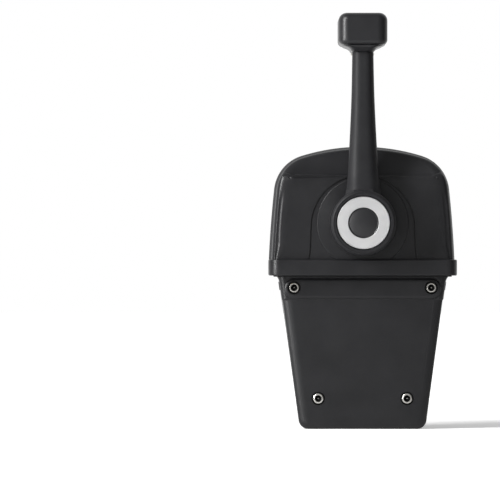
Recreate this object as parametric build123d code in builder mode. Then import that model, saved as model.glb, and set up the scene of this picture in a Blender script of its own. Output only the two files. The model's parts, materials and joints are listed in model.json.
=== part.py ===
from build123d import *
import os
from math import cos, pi, radians, sin, tan

# A single-lever boat throttle control. X runs along the boat, Y runs from the hub to the back of the
# housing, Z is up. Z = 0 is the underside of the flange, which stands on the console.
# All sizes are in millimetres.

# ---------------------------------------------------------------- fits
seat_gap = 0.10          # between two parts that seat in each other
running_gap = 0.05       # radial gap of a shaft or plunger in its bore
free_gap = 0.40          # between parts that pass each other without touching
wall = 3.0               # moulded wall of every housing part
small_socket = 1.3       # corner radius of the hexagon in the small screws
board_socket = 0.6       # corner radius of the hexagon in the board screws
board_head_height = 1.2
sensor_screw_bite = 4.0
control_screw_bite = 2.5

# ---------------------------------------------------------------- flange and gasket
flange_width = 165.0
flange_depth = 93.0
flange_height = 14.0
flange_corner = 10.0
flange_edge = 1.2
gasket_width = 156.0
gasket_depth = 75.0
gasket_thickness = 1.0
gasket_corner = 4.0
gasket_clearance = 1.4   # round the lower housing and its pads, as the console's cut-out has
console_bolt_x = 66.0
console_bolt_y = 41.5
insert_radius = 2.9
insert_bore = 1.65
insert_length = 9.0
cable_window_width = 34.0
cable_window_depth = 24.0

# ---------------------------------------------------------------- upper housing
housing_front = -38.2
seam_front = 15.0
seam_back = 25.0
housing_back = 37.0
housing_top = 111.5
housing_foot = 80.4
hip_inset = 5.2
hip_drop = 35.5
shoulder_inset = 27.8
shoulder_drop = 8.0
bevel_drop = 25.5
bevel_depth = 17.6
rim_radius = 6.5
seam_lip = 2.2
seam_lip_width = 4.5
band_proud = 1.2
rear_bevel_drop = 15.5
rear_bevel_depth = 11.0
rear_rim_radius = 1.6
cover_screw_inset = 7.0
cover_screw_low = 26.0
cover_screw_high = 74.0
cover_boss_radius = 4.5
cover_boss_length = 22.0
cover_screw_radius = 2.0
cover_head_radius = 3.6
cover_head_height = 2.6
cover_screw_length = 24.0

# ---------------------------------------------------------------- arch and escutcheon round the hub
axis_height = 46.0
arch_radius = 44.5
arch_proud = 0.8
arch_groove = 1.2
arch_groove_depth = 0.7
arch_flare = 3.0
arch_flare_height = 14.0
disc_radius = 40.0
disc_thickness = 1.8
disc_seat_depth = 1.0

# ---------------------------------------------------------------- shaft and its bearings
shaft_radius = 7.0
shaft_front = -56.0
shaft_back = 27.0
key_width = 5.0
key_height = 5.0
hub_key_length = 12.0
seal_radius = 12.0
seal_length = 6.0
seal_boss_radius = 16.0
bush_radius = 10.0
bush_flange_radius = 14.0
bush_flange_thickness = 2.0
front_bush_length = 9.0
rear_bush_length = 5.0
ring_groove_depth = 1.0
retaining_ring_thickness = 1.2
retaining_ring_radius = 10.0

# ---------------------------------------------------------------- chassis
plate_thickness = 3.0
chassis_front = -24.0
chassis_back = 22.0
chassis_width = 76.0
chassis_wall_width = 56.0
chassis_top = 94.0
chassis_screw_x = 31.0
chassis_screw_y = 12.0
chassis_screw_radius = 2.0
chassis_head_radius = 3.6
chassis_head_height = 2.4

# ---------------------------------------------------------------- detent, gears and sensor
detent_disc_front = -14.0
detent_disc_thickness = 5.0
detent_disc_radius = 22.0
detent_notch_radius = 2.4
detent_notch_angles = (0.0, 18.0, -18.0)
ball_radius = 3.0
detent_block_width = 16.0
detent_block_height = 22.0
detent_plug_length = 5.0
detent_spring_wire = 0.9
gear_module = 1.25
gear_teeth = 32
pinion_teeth = 16
gear_front = 2.0
gear_thickness = 8.0
gear_backlash = 0.30
pinion_pin_radius = 2.5
magnet_radius = 4.0
magnet_thickness = 3.0
board_thickness = 1.6
board_width = 30.0
board_height = 20.0
board_screw_x = 5.5
board_screw_radius = 1.0
friction_pad_radius = 4.2
friction_pad_length = 5.0
friction_screw_x = -13.0
friction_screw_z = 33.0
friction_screw_radius = 3.0

# ---------------------------------------------------------------- hub
hub_radius = 28.5
hub_front = -75.2
hub_back = -40.6
hub_edge = 4.0
hub_step_radius = 26.2
hub_step_depth = 0.8
cheek_proud = 0.8
cheek_front = -66.0
cheek_top = 66.9
cheek_bottom = 18.3
hub_slit_y = -51.7
hub_slit_width = 1.0
hub_slit_depth = 1.6
ring_radius = 23.0
ring_bore = 13.3
ring_thickness = 2.6
ring_front = -74.0
ring_gap = 0.7
button_radius = 13.0
button_lip_radius = 14.7
button_lip_thickness = 1.2
button_edge = 1.4
button_dome = 1.5
button_travel = 3.0
button_skirt_radius = 10.0
button_skirt_wall = 1.5
button_skirt_length = 4.6
clamp_floor = -60.0
clamp_head_radius = 5.0
clamp_head_height = 5.5
clamp_socket = 2.9
clamp_screw_radius = 3.0
clamp_screw_length = 18.0
button_spring_radius = 6.9   # to the middle of the wire
button_spring_wire = 1.2

# ---------------------------------------------------------------- stalk
stalk_tilt = 8.9
stalk_axis_height = 192.0
stalk_axis_y = -39.0
stalk_facet_x = 0.45      # share of the half width taken by each corner facet
stalk_facet_y = 0.26      # share of the thickness taken by each corner facet
# height, front, back and half width of each section, up the flare and then up the straight blade
flare_sections = (
    (64.0, -73.4, -43.2, 16.4),
    (75.0, -70.0, -43.2, 14.9),
    (86.0, -64.8, -42.9, 13.7),
    (98.0, -61.6, -42.0, 12.9),
)
blade_sections = (
    (98.0, -61.6, -42.0, 12.9),
    (118.0, -58.6, -39.9, 11.8),
    (153.5, -53.2, -35.6, 10.2),
    (200.2, -45.9, -29.6, 9.2),
)

# ---------------------------------------------------------------- grip
grip_front = -57.0
grip_back = 19.4
grip_half_width = 21.3
grip_top = 229.5
grip_parting = 201.5
grip_corner = 9.0
grip_top_radius = 7.0
grip_lower_rim = 4.5
grip_seam = 1.0
base_bottom = 192.2
base_front = -52.0
base_back = 12.5
base_half_width = 18.0
base_lip_back = 14.0
base_lip_half_width = 16.6
base_waist = 196.5
base_waist_front = -47.5
base_waist_back = 9.0
base_waist_half_width = 13.5
base_foot_front = -47.5
base_foot_back = -6.0
base_foot_half_width = 11.4
pad_thickness = 3.0
pad_front = -50.0
pad_back = -16.5
pad_half_width = 12.0
grip_screw_x = 6.8
grip_screw_y = -22.5
grip_screw_radius = 2.0
grip_screw_length = 22.0
grip_screw_head_radius = 3.5
grip_screw_head_height = 2.6

# ---------------------------------------------------------------- neutral release trigger
trigger_travel = 3.5
trigger_front = -13.2
trigger_back = 4.0
trigger_bottom = 190.5
trigger_half_width = 8.0
trigger_groove = 1.2
trigger_groove_pitch = 2.6
bridge_half_width = 3.5
bridge_thickness = 3.0
rod_radius = 2.5
rod_clearance = 0.35
rod_bottom = 79.0
spring_well_radius = 5.2
spring_well_bottom = 170.0
rod_collar_radius = 4.8
rod_collar_thickness = 2.0
trigger_spring_radius = 4.4
trigger_spring_wire = 1.0
spring_cap_thickness = 2.0

# ---------------------------------------------------------------- lower housing
lower_top = 0.0
lower_bottom = -134.5
lower_front = -32.1
lower_back = 34.0
lower_half_top = 73.8
lower_half_bottom = 55.0
lower_corner = 8.5
lower_edge = 5.0
shelf_z = -20.5
throat_y = -3.0
throat_z = -46.5
cover_end_y = -8.0
cover_end_z = -87.0
shelf_radius = 14.0
throat_radius = 16.0
seam_y = 22.0
seam_shelf_z = -16.5
seam_throat_y = -8.6
seam_throat_z = -46.5
seam_end_y = -11.0
lower_back_bottom = -13.6
seam_radius = 6.0
screw_upper_x = 60.1
screw_upper_z = -10.6
screw_lower_x = 38.9
screw_lower_z = -107.7
front_screw_radius = 2.5
front_head_radius = 4.7
front_head_height = 2.6
front_recess_radius = 5.9
front_recess_depth = 2.4
front_socket_radius = 2.0
front_screw_lengths = (55.0, 7.0)   # upper ones reach the rear cover, lower ones the front wall
front_boss_radius = 6.5
pad_bar_half_width = 68.6
pad_bar_top = -2.4
pad_bar_bottom = -20.4
pad_bar_proud = 0.8
side_pad_front = -18.4
side_pad_back = 11.0
side_pad_top = -5.7
side_pad_bottom = -12.8
side_pad_proud = 0.7
side_pad_corner = 1.5

deck_screw_x = 50.0
deck_screw_front = -20.0
deck_screw_back = 14.0

# ---------------------------------------------------------------- control board and connector
control_board_half_width = 42.0
control_board_top = -34.0
control_board_bottom = -100.0
control_board_standoff = 4.0
control_boss_radius = 3.5
control_screw_x = 36.0
control_screw_pitch = 40.0
connector_half_width = 22.0
connector_top = -76.0
connector_bottom = -129.8
connector_back = 6.6
connector_gap = 0.6
connector_corner = 6.0
connector_rib_proud = 0.7
connector_rib_height = 2.6
connector_rib_heights = (-99.0, -104.4, -119.0)
socket_half_width = 17.0
socket_half_depth = 5.2
socket_depth = 17.0
contact_radius = 1.0
contact_length = 10.0
contact_pitch = 5.4
contact_rows = 2
contact_columns = 6
connector_stub_half_width = 15.0
connector_stub_height = 13.5
connector_stub_drop = 10.0   # below the end of the rear cover

# ---------------------------------------------------------------- places worked out from the sizes
shoulder_x = housing_foot - shoulder_inset
shoulder_z = housing_top - shoulder_drop
hip_x = housing_foot - hip_inset
hip_z = housing_top - hip_drop
bevel_z = housing_top - bevel_drop
rear_bevel_z = housing_top + band_proud - rear_bevel_drop
face_front = housing_front - arch_proud
disc_front = face_front + disc_seat_depth - disc_thickness
seal_front = housing_front + wall - disc_thickness / 2
chassis_inner_front = chassis_front + plate_thickness
chassis_inner_back = chassis_back - plate_thickness
front_bush_front = chassis_front - bush_flange_thickness
front_bush_back = front_bush_front + front_bush_length
rear_bush_front = chassis_inner_back - bush_flange_thickness
rear_bush_back = rear_bush_front + bush_flange_thickness + rear_bush_length
detent_disc_back = detent_disc_front + detent_disc_thickness
gear_back = gear_front + gear_thickness
pinion_height = axis_height + gear_module * (gear_teeth + pinion_teeth) / 2
ball_y = detent_disc_front + detent_disc_thickness / 2
ball_height = axis_height + detent_disc_radius + 0.3 + ball_radius
detent_block_bottom = axis_height + detent_disc_radius + 2.0
detent_block_top = detent_block_bottom + detent_block_height
detent_block_back = ball_y + 2 * ball_radius + 0.3
board_back = detent_block_back + board_thickness
ring_back = ring_front + ring_thickness
button_lip_front = ring_back + seat_gap
button_lip_back = button_lip_front + button_lip_thickness
button_pocket_floor = button_lip_back + button_travel + free_gap
tilt = radians(stalk_tilt)
rod_axis = Plane(
    origin=(0, stalk_axis_y, stalk_axis_height), x_dir=(1, 0, 0), z_dir=(0, sin(tilt), cos(tilt))
)
trigger_drift = trigger_travel * sin(tilt)
pad_bottom = grip_parting - pad_thickness
bridge_bottom = grip_parting + free_gap + 0.2
bridge_top = bridge_bottom + bridge_thickness
carrier_front = lower_front + 2 * wall
carrier_back = carrier_front + 2.5
control_board_front = carrier_back + control_board_standoff
deck_screw_places = [
    (x, y) for x in (-deck_screw_x, deck_screw_x) for y in (deck_screw_front, deck_screw_back)
]
cover_screw_places = [
    (side * x, z)
    for side in (-1, 1)
    for x, z in (
        (housing_foot - cover_screw_inset, cover_screw_low),
        (hip_x - cover_screw_inset, cover_screw_high),
    )
]

os.makedirs("parts", exist_ok=True)


def facing(y):
    """Plane across the shaft at depth y, seen from the hub: its x is X, its y is Z."""
    return Plane(origin=(0, y, 0), x_dir=(1, 0, 0), z_dir=(0, -1, 0))


def level(z):
    """Level plane at height z."""
    return Plane.XY.offset(z)


def along_rod(height):
    """Plane across the release rod where the rod reaches this height."""
    return rod_axis.offset((height - stalk_axis_height) / cos(tilt))


def save(builder, name):
    """Label a finished piece and write its file."""
    builder.part.label = name
    export_step(builder.part, f"parts/{name}.step")


def housing_section(y, grow):
    """Arched outline of the upper housing at depth y, grown outwards and cut off level with the flange."""
    with BuildSketch(facing(y), mode=Mode.PRIVATE) as section:
        with BuildLine():
            crown = TangentArc((0, housing_top), (shoulder_x, shoulder_z), tangent=(1, 0))
            corner = TangentArc(crown @ 1, (hip_x, hip_z), tangent=crown % 1)
            side = TangentArc(corner @ 1, (housing_foot, 0), tangent=corner % 1)
            Line(side @ 1, (0, 0))
            mirror(about=Plane.YZ)
        make_face()
        if grow:
            offset(amount=grow)
        with Locations((0, flange_height)):
            Rectangle(
                4 * housing_foot, 4 * wall + 2 * flange_height,
                align=(Align.CENTER, Align.MAX), mode=Mode.SUBTRACT,
            )
    return section.sketch


def housing_block(front, back, grow, bevel=None, rim=0.0):
    """Arched block between two depths, its front top bevelled and its front rim rounded."""
    section = housing_section(back, grow)
    with BuildPart() as block:
        extrude(section, amount=back - front)
        if bevel:
            slope = bevel.offset(grow)
            split(bisect_by=slope, keep=Keep.BOTTOM)
            rim_edges = block.edges().filter_by(
                lambda e: (e @ 0.5).Z > flange_height + 0.01
                and (abs(slope.to_local_coords(e @ 0.5).Z) < 0.01 or abs((e @ 0.5).Y - front) < 0.01)
            )
            fillet(rim_edges, radius=rim)
    return block.part


def shaft_disc(front, back, radius, bore):
    """Plain disc or tube on the shaft's axis."""
    with BuildPart() as disc:
        with BuildSketch(facing(back)):
            with Locations((0, axis_height)):
                Circle(radius)
                if bore:
                    Circle(bore, mode=Mode.SUBTRACT)
        extrude(amount=back - front)
    return disc.part


def key_between(front, back):
    """Square key in the top of the shaft."""
    with BuildPart() as key:
        with BuildSketch(facing(back)):
            with Locations((0, axis_height + shaft_radius)):
                Rectangle(key_width, key_height)
        extrude(amount=back - front)
    return key.part


def coil(plane, radius, wire, length, turns):
    """Compression spring standing on a plane, with both ends inside its length."""
    path = plane * Pos(0, 0, wire / 2) * Helix(
        pitch=(length - wire) / turns, height=length - wire, radius=radius
    )
    with BuildPart() as spring:
        with BuildSketch(Plane(origin=path @ 0, z_dir=path % 0)):
            Circle(wire / 2)
        sweep(path=path, is_frenet=True)
    return spring.part


def button_head_screw(plane, head_radius, head_height, shank_radius, shank_length, socket):
    """Screw whose head stands out of a plane and whose shank runs back through it."""
    with BuildPart() as screw:
        with BuildSketch(plane):
            Circle(head_radius)
        extrude(amount=head_height)
        fillet(screw.faces().sort_by(SortBy.AREA)[-1].edges() & screw.edges().group_by(
            lambda e: round(plane.to_local_coords(e @ 0.5).Z, 3))[-1], radius=0.45 * head_height)
        with BuildSketch(plane.offset(head_height)):
            RegularPolygon(socket, 6)
        extrude(amount=-0.6 * head_height, mode=Mode.SUBTRACT)
        with BuildSketch(plane):
            Circle(shank_radius)
        extrude(amount=-shank_length)
    return screw.part


def tooth_gear(teeth, front, back, centre_z, phase, bore):
    """Spur gear with straight-flanked teeth, thinned by the backlash."""
    pitch_radius = gear_module * teeth / 2
    tip = pitch_radius + 0.9 * gear_module
    root = pitch_radius - 1.15 * gear_module
    half_pitch = (pi * gear_module / 2 - gear_backlash) / 2
    half_tip = half_pitch - 0.9 * gear_module * tan(radians(20))
    half_root = half_pitch + 1.15 * gear_module * tan(radians(20))
    with BuildPart() as gear:
        with BuildSketch(facing(back)):
            with Locations((0, centre_z)):
                Circle(root)
                with PolarLocations(0, teeth, start_angle=phase):
                    Polygon(
                        (0.8 * root, -half_root), (root, -half_root), (tip, -half_tip),
                        (tip, half_tip), (root, half_root), (0.8 * root, half_root), align=None,
                    )
                Circle(bore, mode=Mode.SUBTRACT)
        extrude(amount=back - front)
    return gear.part


# ================================================================ base: flange and console fixing
with BuildPart() as flange_plate:
    with BuildSketch():
        RectangleRounded(flange_width, flange_depth, flange_corner)
        Rectangle(cable_window_width, cable_window_depth, mode=Mode.SUBTRACT)
    extrude(amount=flange_height)
    outer_edges = flange_plate.edges().filter_by(
        lambda e: abs((e @ 0.5).Y) > gasket_depth / 2 or abs((e @ 0.5).X) > gasket_width / 2
    )
    fillet(outer_edges.filter_by(lambda e: abs((e @ 0.5).Z - flange_height / 2) > 1), radius=flange_edge)
    with Locations(Plane.XY.rotated((180, 0, 0))):
        with GridLocations(2 * console_bolt_x, 2 * console_bolt_y, 2, 2):
            Hole(insert_radius, depth=insert_length)
    with Locations(Plane.XY):
        with GridLocations(2 * chassis_screw_x, 2 * chassis_screw_y, 2, 2):
            Hole(chassis_screw_radius)
        with Locations(deck_screw_places):
            Hole(chassis_screw_radius)
save(flange_plate, "flange_plate")

with BuildPart() as mounting_inserts:
    with BuildSketch():
        with GridLocations(2 * console_bolt_x, 2 * console_bolt_y, 2, 2):
            Circle(insert_radius)
            Circle(insert_bore, mode=Mode.SUBTRACT)
    extrude(amount=insert_length)
save(mounting_inserts, "mounting_inserts")

# ================================================================ upper housing: front shell
bevel = Plane(origin=(0, housing_front, bevel_z), x_dir=(1, 0, 0), z_dir=(0, -bevel_drop, bevel_depth))
front_outer = housing_block(housing_front, seam_front, 0, bevel, rim_radius)
front_inner = housing_block(housing_front + wall, seam_front + wall, -wall, bevel, rim_radius - wall)
lip_start = housing_section(seam_front - seam_lip_width, seat_gap)
lip_end = housing_section(seam_front, seam_lip)
arch_centre = bevel_z + 1.0 - arch_radius


def arch_sketch(grow):
    """Tombstone outline round the hub: a half circle on legs that flare out at their feet."""
    radius = arch_radius + grow
    with BuildSketch(mode=Mode.PRIVATE) as outline:
        with BuildLine():
            top = TangentArc((0, arch_centre + radius), (radius, arch_centre), tangent=(1, 0))
            leg = Line(top @ 1, (radius + arch_flare / 3, flange_height + arch_flare_height / 2))
            Spline(
                leg @ 1, (radius + arch_flare, flange_height),
                tangents=(leg % 1, (1, -1)),
            )
            Polyline((radius + arch_flare, flange_height), (0, flange_height))
            mirror(about=Plane.YZ)
        make_face()
    return outline.sketch


arch_outline = arch_sketch(0)
arch_outer_outline = arch_sketch(arch_groove)
with BuildPart() as front_housing:
    add(front_outer)
    loft([lip_start, lip_end])
    with BuildSketch(facing(housing_front + arch_groove_depth)):
        add(arch_outer_outline)
        add(arch_outline, mode=Mode.SUBTRACT)
    extrude(amount=3 * wall, mode=Mode.SUBTRACT)
    with BuildSketch(facing(housing_front + 0.5 * wall)):
        add(arch_outline)
    extrude(amount=0.5 * wall + arch_proud)
    add(front_inner, mode=Mode.SUBTRACT)
    with BuildSketch(facing(seal_front + seal_length)):
        with Locations((0, axis_height)):
            Circle(seal_boss_radius)
    extrude(amount=seal_length)
    with BuildSketch(facing(seal_front + seal_length)):
        with Locations((0, axis_height)):
            Circle(seal_radius)
    extrude(amount=seal_length, mode=Mode.SUBTRACT)
    with BuildSketch(facing(face_front + disc_seat_depth)):
        with Locations((0, axis_height)):
            Circle(disc_radius + seat_gap)
    extrude(amount=2 * wall, mode=Mode.SUBTRACT)
    with BuildSketch(facing(seal_front)):
        with Locations((0, axis_height)):
            Circle(shaft_radius + 2 * free_gap)
    extrude(amount=2 * wall, mode=Mode.SUBTRACT)
    with BuildSketch(facing(seam_front)):
        with Locations(cover_screw_places):
            Circle(cover_boss_radius)
    extrude(amount=cover_boss_length)
    with BuildSketch(facing(seam_front)):
        with Locations(cover_screw_places):
            Circle(cover_screw_radius)
    extrude(amount=cover_boss_length, mode=Mode.SUBTRACT)
save(front_housing, "front_housing")

# ================================================================ upper housing: band, rear cover, disc
band_outer = housing_section(seam_back, band_proud)
band_inner = housing_section(seam_back, -wall)
with BuildPart() as seam_band:
    extrude(band_outer, amount=seam_back - seam_front)
    extrude(band_inner, amount=seam_back - seam_front, mode=Mode.SUBTRACT)
    with BuildSketch(facing(seam_back)):
        with Locations(cover_screw_places):
            Circle(cover_boss_radius)
    extrude(amount=seam_back - seam_front)
    with BuildSketch(facing(seam_back)):
        with Locations(cover_screw_places):
            Circle(cover_screw_radius)
    extrude(amount=seam_back - seam_front, mode=Mode.SUBTRACT)
save(seam_band, "seam_band")

rear_bevel = Plane(
    origin=(0, -housing_back, rear_bevel_z), x_dir=(1, 0, 0), z_dir=(0, -rear_bevel_drop, rear_bevel_depth)
)
rear_outer = mirror(
    housing_block(-housing_back, -seam_back, band_proud, rear_bevel.offset(-band_proud), rear_rim_radius),
    about=Plane.XZ,
)
rear_inner = mirror(
    housing_block(
        wall - housing_back, wall - seam_back, -wall, rear_bevel.offset(-band_proud), 0.5 * rear_rim_radius),
    about=Plane.XZ,
)
with BuildPart() as rear_cover:
    add(rear_outer)
    add(rear_inner, mode=Mode.SUBTRACT)
    with BuildSketch(facing(housing_back - 0.5 * wall)):
        with Locations(cover_screw_places):
            Circle(cover_boss_radius + 1)
    extrude(amount=housing_back - 0.5 * wall - seam_back)
    with BuildSketch(facing(housing_back)):
        with Locations(cover_screw_places):
            Circle(cover_screw_radius)
    extrude(amount=housing_back - seam_back, mode=Mode.SUBTRACT)
    with BuildSketch(facing(housing_back)):
        with Locations(cover_screw_places):
            Circle(cover_head_radius + free_gap)
    extrude(amount=cover_head_height + free_gap, mode=Mode.SUBTRACT)
save(rear_cover, "rear_cover")


def screw_group(planes, head_radius, head_height, shank_radius, shank_length, socket):
    """Identical screws, one on each plane, as separate solids of one part."""
    screw = button_head_screw(Plane.XY, head_radius, head_height, shank_radius, shank_length, socket)
    with BuildPart() as group:
        for plane in planes:
            add(plane * screw)
    return group


cover_screws = screw_group(
    [
        Plane(origin=(x, housing_back - cover_head_height - free_gap, z), x_dir=(1, 0, 0), z_dir=(0, 1, 0))
        for x, z in cover_screw_places
    ],
    cover_head_radius, cover_head_height, cover_screw_radius, cover_screw_length, small_socket,
)
save(cover_screws, "rear_cover_screws")

with BuildPart() as escutcheon_disc:
    add(shaft_disc(disc_front, disc_front + disc_thickness, disc_radius, shaft_radius + 2 * free_gap))
    fillet(escutcheon_disc.faces().sort_by(Axis.Y)[0].edges(), radius=0.5)
    split(bisect_by=level(flange_height + seat_gap), keep=Keep.TOP)
save(escutcheon_disc, "escutcheon_disc")

with BuildPart() as flange_gasket:
    with BuildSketch(level(-gasket_thickness)):
        RectangleRounded(gasket_width, gasket_depth, gasket_corner)
        with Locations((0, (lower_front + lower_back) / 2)):
            Rectangle(
                2 * (lower_half_top + gasket_clearance), lower_back - lower_front + 2 * gasket_clearance,
                mode=Mode.SUBTRACT,
            )
    extrude(amount=gasket_thickness)
save(flange_gasket, "flange_gasket")

# ================================================================ shaft, bearings and chassis
with BuildPart() as shaft_seal:
    add(shaft_disc(seal_front, seal_front + seal_length, seal_radius, shaft_radius + running_gap))
save(shaft_seal, "shaft_seal")

with BuildPart() as front_bush:
    add(shaft_disc(front_bush_front, front_bush_back, bush_radius, shaft_radius + running_gap))
    add(shaft_disc(front_bush_front, chassis_front, bush_flange_radius, shaft_radius + running_gap))
save(front_bush, "front_bush")

with BuildPart() as rear_bush:
    add(shaft_disc(rear_bush_front, rear_bush_back, bush_radius, shaft_radius + running_gap))
    add(shaft_disc(rear_bush_front, chassis_inner_back, bush_flange_radius, shaft_radius + running_gap))
save(rear_bush, "rear_bush")

with BuildPart() as shaft_keys:
    add(key_between(shaft_front, shaft_front + hub_key_length))
    add(key_between(detent_disc_front, detent_disc_back))
    add(key_between(gear_front, gear_back))
save(shaft_keys, "shaft_keys")

with BuildPart() as shaft:
    add(shaft_disc(shaft_front, shaft_back, shaft_radius, 0))
    chamfer(shaft.edges().filter_by(GeomType.CIRCLE), length=0.5)
    add(shaft_keys.part, mode=Mode.SUBTRACT)
    with BuildSketch(facing(clamp_floor + clamp_screw_length)):
        with Locations((0, axis_height)):
            Circle(clamp_screw_radius)
    extrude(amount=clamp_screw_length, mode=Mode.SUBTRACT)
    with BuildSketch(facing(rear_bush_back + seat_gap + retaining_ring_thickness)):
        with Locations((0, axis_height)):
            Circle(shaft_radius + 1)
            Circle(shaft_radius - ring_groove_depth, mode=Mode.SUBTRACT)
    extrude(amount=retaining_ring_thickness, mode=Mode.SUBTRACT)
save(shaft, "shaft")

with BuildPart() as retaining_ring:
    add(
        shaft_disc(
            rear_bush_back + seat_gap, rear_bush_back + seat_gap + retaining_ring_thickness,
            retaining_ring_radius, shaft_radius - ring_groove_depth,
        )
    )
    with BuildSketch(facing(shaft_back)):
        with Locations((0, axis_height - retaining_ring_radius)):
            Rectangle(shaft_radius, 2 * shaft_radius)
    extrude(amount=shaft_back - rear_bush_back, mode=Mode.SUBTRACT)
save(retaining_ring, "retaining_ring")

spacer_radius = shaft_radius + 2.0
with BuildPart() as shaft_spacers:
    add(shaft_disc(front_bush_back + seat_gap, detent_disc_front, spacer_radius, shaft_radius))
    add(shaft_disc(detent_disc_back, gear_front, spacer_radius, shaft_radius))
    add(shaft_disc(gear_back, rear_bush_front - seat_gap, spacer_radius, shaft_radius))
save(shaft_spacers, "shaft_spacers")

with BuildPart() as chassis:
    with BuildSketch(Plane.YZ):
        with Locations(((chassis_front + chassis_back) / 2, flange_height)):
            Rectangle(
                chassis_back - chassis_front, chassis_top - flange_height, align=(Align.CENTER, Align.MIN))
        with Locations(((chassis_front + chassis_back) / 2, flange_height + plate_thickness)):
            Rectangle(
                chassis_back - chassis_front - 2 * plate_thickness, chassis_top,
                align=(Align.CENTER, Align.MIN), mode=Mode.SUBTRACT,
            )
    extrude(amount=chassis_wall_width / 2, both=True)
    top_corners = chassis.edges().filter_by(Axis.Y).group_by(Axis.Z)[-1]
    fillet(top_corners, radius=flange_corner)
    bends = chassis.edges().filter_by(Axis.X).filter_by(
        lambda e: abs((e @ 0.5).Z - flange_height) < 0.01
    )
    fillet(bends, radius=0.9 * plate_thickness)
    with BuildSketch(level(flange_height)):
        with Locations((0, (chassis_front + chassis_back) / 2)):
            RectangleRounded(
                chassis_width, chassis_back - chassis_front - 4 * plate_thickness, plate_thickness)
    extrude(amount=plate_thickness)
    with BuildSketch(level(flange_height)):
        Rectangle(cable_window_width, cable_window_depth)
        with GridLocations(2 * chassis_screw_x, 2 * chassis_screw_y, 2, 2):
            Circle(chassis_screw_radius)
    extrude(amount=plate_thickness, mode=Mode.SUBTRACT)
    with BuildSketch(facing(chassis_back)):
        with Locations((0, axis_height)):
            Circle(bush_radius)
    extrude(amount=chassis_back - chassis_front, mode=Mode.SUBTRACT)
    with BuildSketch(facing(chassis_back)):
        with Locations((0, pinion_height)):
            Circle(pinion_pin_radius)
    extrude(amount=plate_thickness, mode=Mode.SUBTRACT)
    with BuildSketch(facing(chassis_inner_front)):
        with Locations((friction_screw_x, friction_screw_z)):
            Circle(friction_screw_radius)
        with Locations((-board_screw_x, detent_block_top - 4), (board_screw_x, detent_block_top - 4)):
            Circle(chassis_screw_radius)
    extrude(amount=plate_thickness, mode=Mode.SUBTRACT)
save(chassis, "chassis_bracket")

chassis_screws = screw_group(
    [
        Plane.XY * Pos(x, y, flange_height + plate_thickness)
        for x in (-chassis_screw_x, chassis_screw_x)
        for y in (-chassis_screw_y, chassis_screw_y)
    ],
    chassis_head_radius, chassis_head_height, chassis_screw_radius,
    0.9 * flange_height + plate_thickness, small_socket,
)
save(chassis_screws, "chassis_screws")

# ================================================================ detent, friction brake, gears, sensor
with BuildPart() as detent_disc:
    with BuildSketch(facing(detent_disc_back)):
        with Locations((0, axis_height)):
            Circle(detent_disc_radius)
            Circle(shaft_radius, mode=Mode.SUBTRACT)
        for angle in detent_notch_angles:
            with Locations(
                (
                    detent_disc_radius * sin(radians(angle)),
                    axis_height + detent_disc_radius * cos(radians(angle)),
                )
            ):
                Circle(detent_notch_radius, mode=Mode.SUBTRACT)
    extrude(amount=detent_disc_thickness)
    add(shaft_keys.part, mode=Mode.SUBTRACT)
save(detent_disc, "detent_disc")

bore_radius = ball_radius + running_gap
with BuildPart() as detent_block:
    with BuildSketch(level(detent_block_bottom)):
        with Locations((0, (chassis_inner_front + detent_block_back) / 2)):
            Rectangle(detent_block_width, detent_block_back - chassis_inner_front)
        with Locations((0, ball_y)):
            Circle(bore_radius, mode=Mode.SUBTRACT)
    extrude(amount=detent_block_height)
    with BuildSketch(facing(chassis_inner_front + 6)):
        with Locations((-board_screw_x, detent_block_top - 4), (board_screw_x, detent_block_top - 4)):
            Circle(chassis_screw_radius)
    extrude(amount=6, mode=Mode.SUBTRACT)
    with BuildSketch(facing(detent_block_back)):
        with Locations((-board_screw_x, pinion_height + 6), (board_screw_x, pinion_height + 6)):
            Circle(board_screw_radius)
    extrude(amount=4, mode=Mode.SUBTRACT)
save(detent_block, "detent_block")

detent_block_screws = screw_group(
    [
        Plane(origin=(x, chassis_front, detent_block_top - 4), x_dir=(1, 0, 0), z_dir=(0, -1, 0))
        for x in (-board_screw_x, board_screw_x)
    ],
    chassis_head_radius, chassis_head_height, chassis_screw_radius, plate_thickness + 2 * wall,
    small_socket,
)
save(detent_block_screws, "detent_block_screws")

with BuildPart() as detent_ball:
    with Locations((0, ball_y, ball_height)):
        Sphere(ball_radius)
save(detent_ball, "detent_ball")

with BuildPart() as detent_plug:
    with BuildSketch(level(detent_block_top - detent_plug_length)):
        with Locations((0, ball_y)):
            Circle(bore_radius)
    extrude(amount=detent_plug_length)
    with BuildSketch(level(detent_block_top)):
        with Locations((0, ball_y)):
            RegularPolygon(1.6, 6)
    extrude(amount=-0.5 * detent_plug_length, mode=Mode.SUBTRACT)
save(detent_plug, "detent_plug")

detent_spring_foot = ball_height + ball_radius + 0.05
with BuildPart() as detent_spring:
    add(
        coil(
            Plane(origin=(0, ball_y, detent_spring_foot)), 2.1, detent_spring_wire,
            detent_block_top - detent_plug_length - detent_spring_foot, 6,
        )
    )
save(detent_spring, "detent_spring")

with BuildPart() as friction_pad:
    with BuildSketch(facing(detent_disc_front - seat_gap)):
        with Locations((friction_screw_x, friction_screw_z)):
            Circle(friction_pad_radius)
    extrude(amount=friction_pad_length)
save(friction_pad, "friction_pad")

with BuildPart() as friction_screw:
    with BuildSketch(facing(detent_disc_front - seat_gap - friction_pad_length)):
        with Locations((friction_screw_x, friction_screw_z)):
            Circle(friction_screw_radius)
    extrude(amount=detent_disc_front - friction_pad_length - chassis_front + plate_thickness)
    with BuildSketch(friction_screw.faces().sort_by(Axis.Y)[0]):
        Rectangle(2 * friction_screw_radius, 1)
    extrude(amount=-1.5, mode=Mode.SUBTRACT)
save(friction_screw, "friction_screw")

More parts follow.
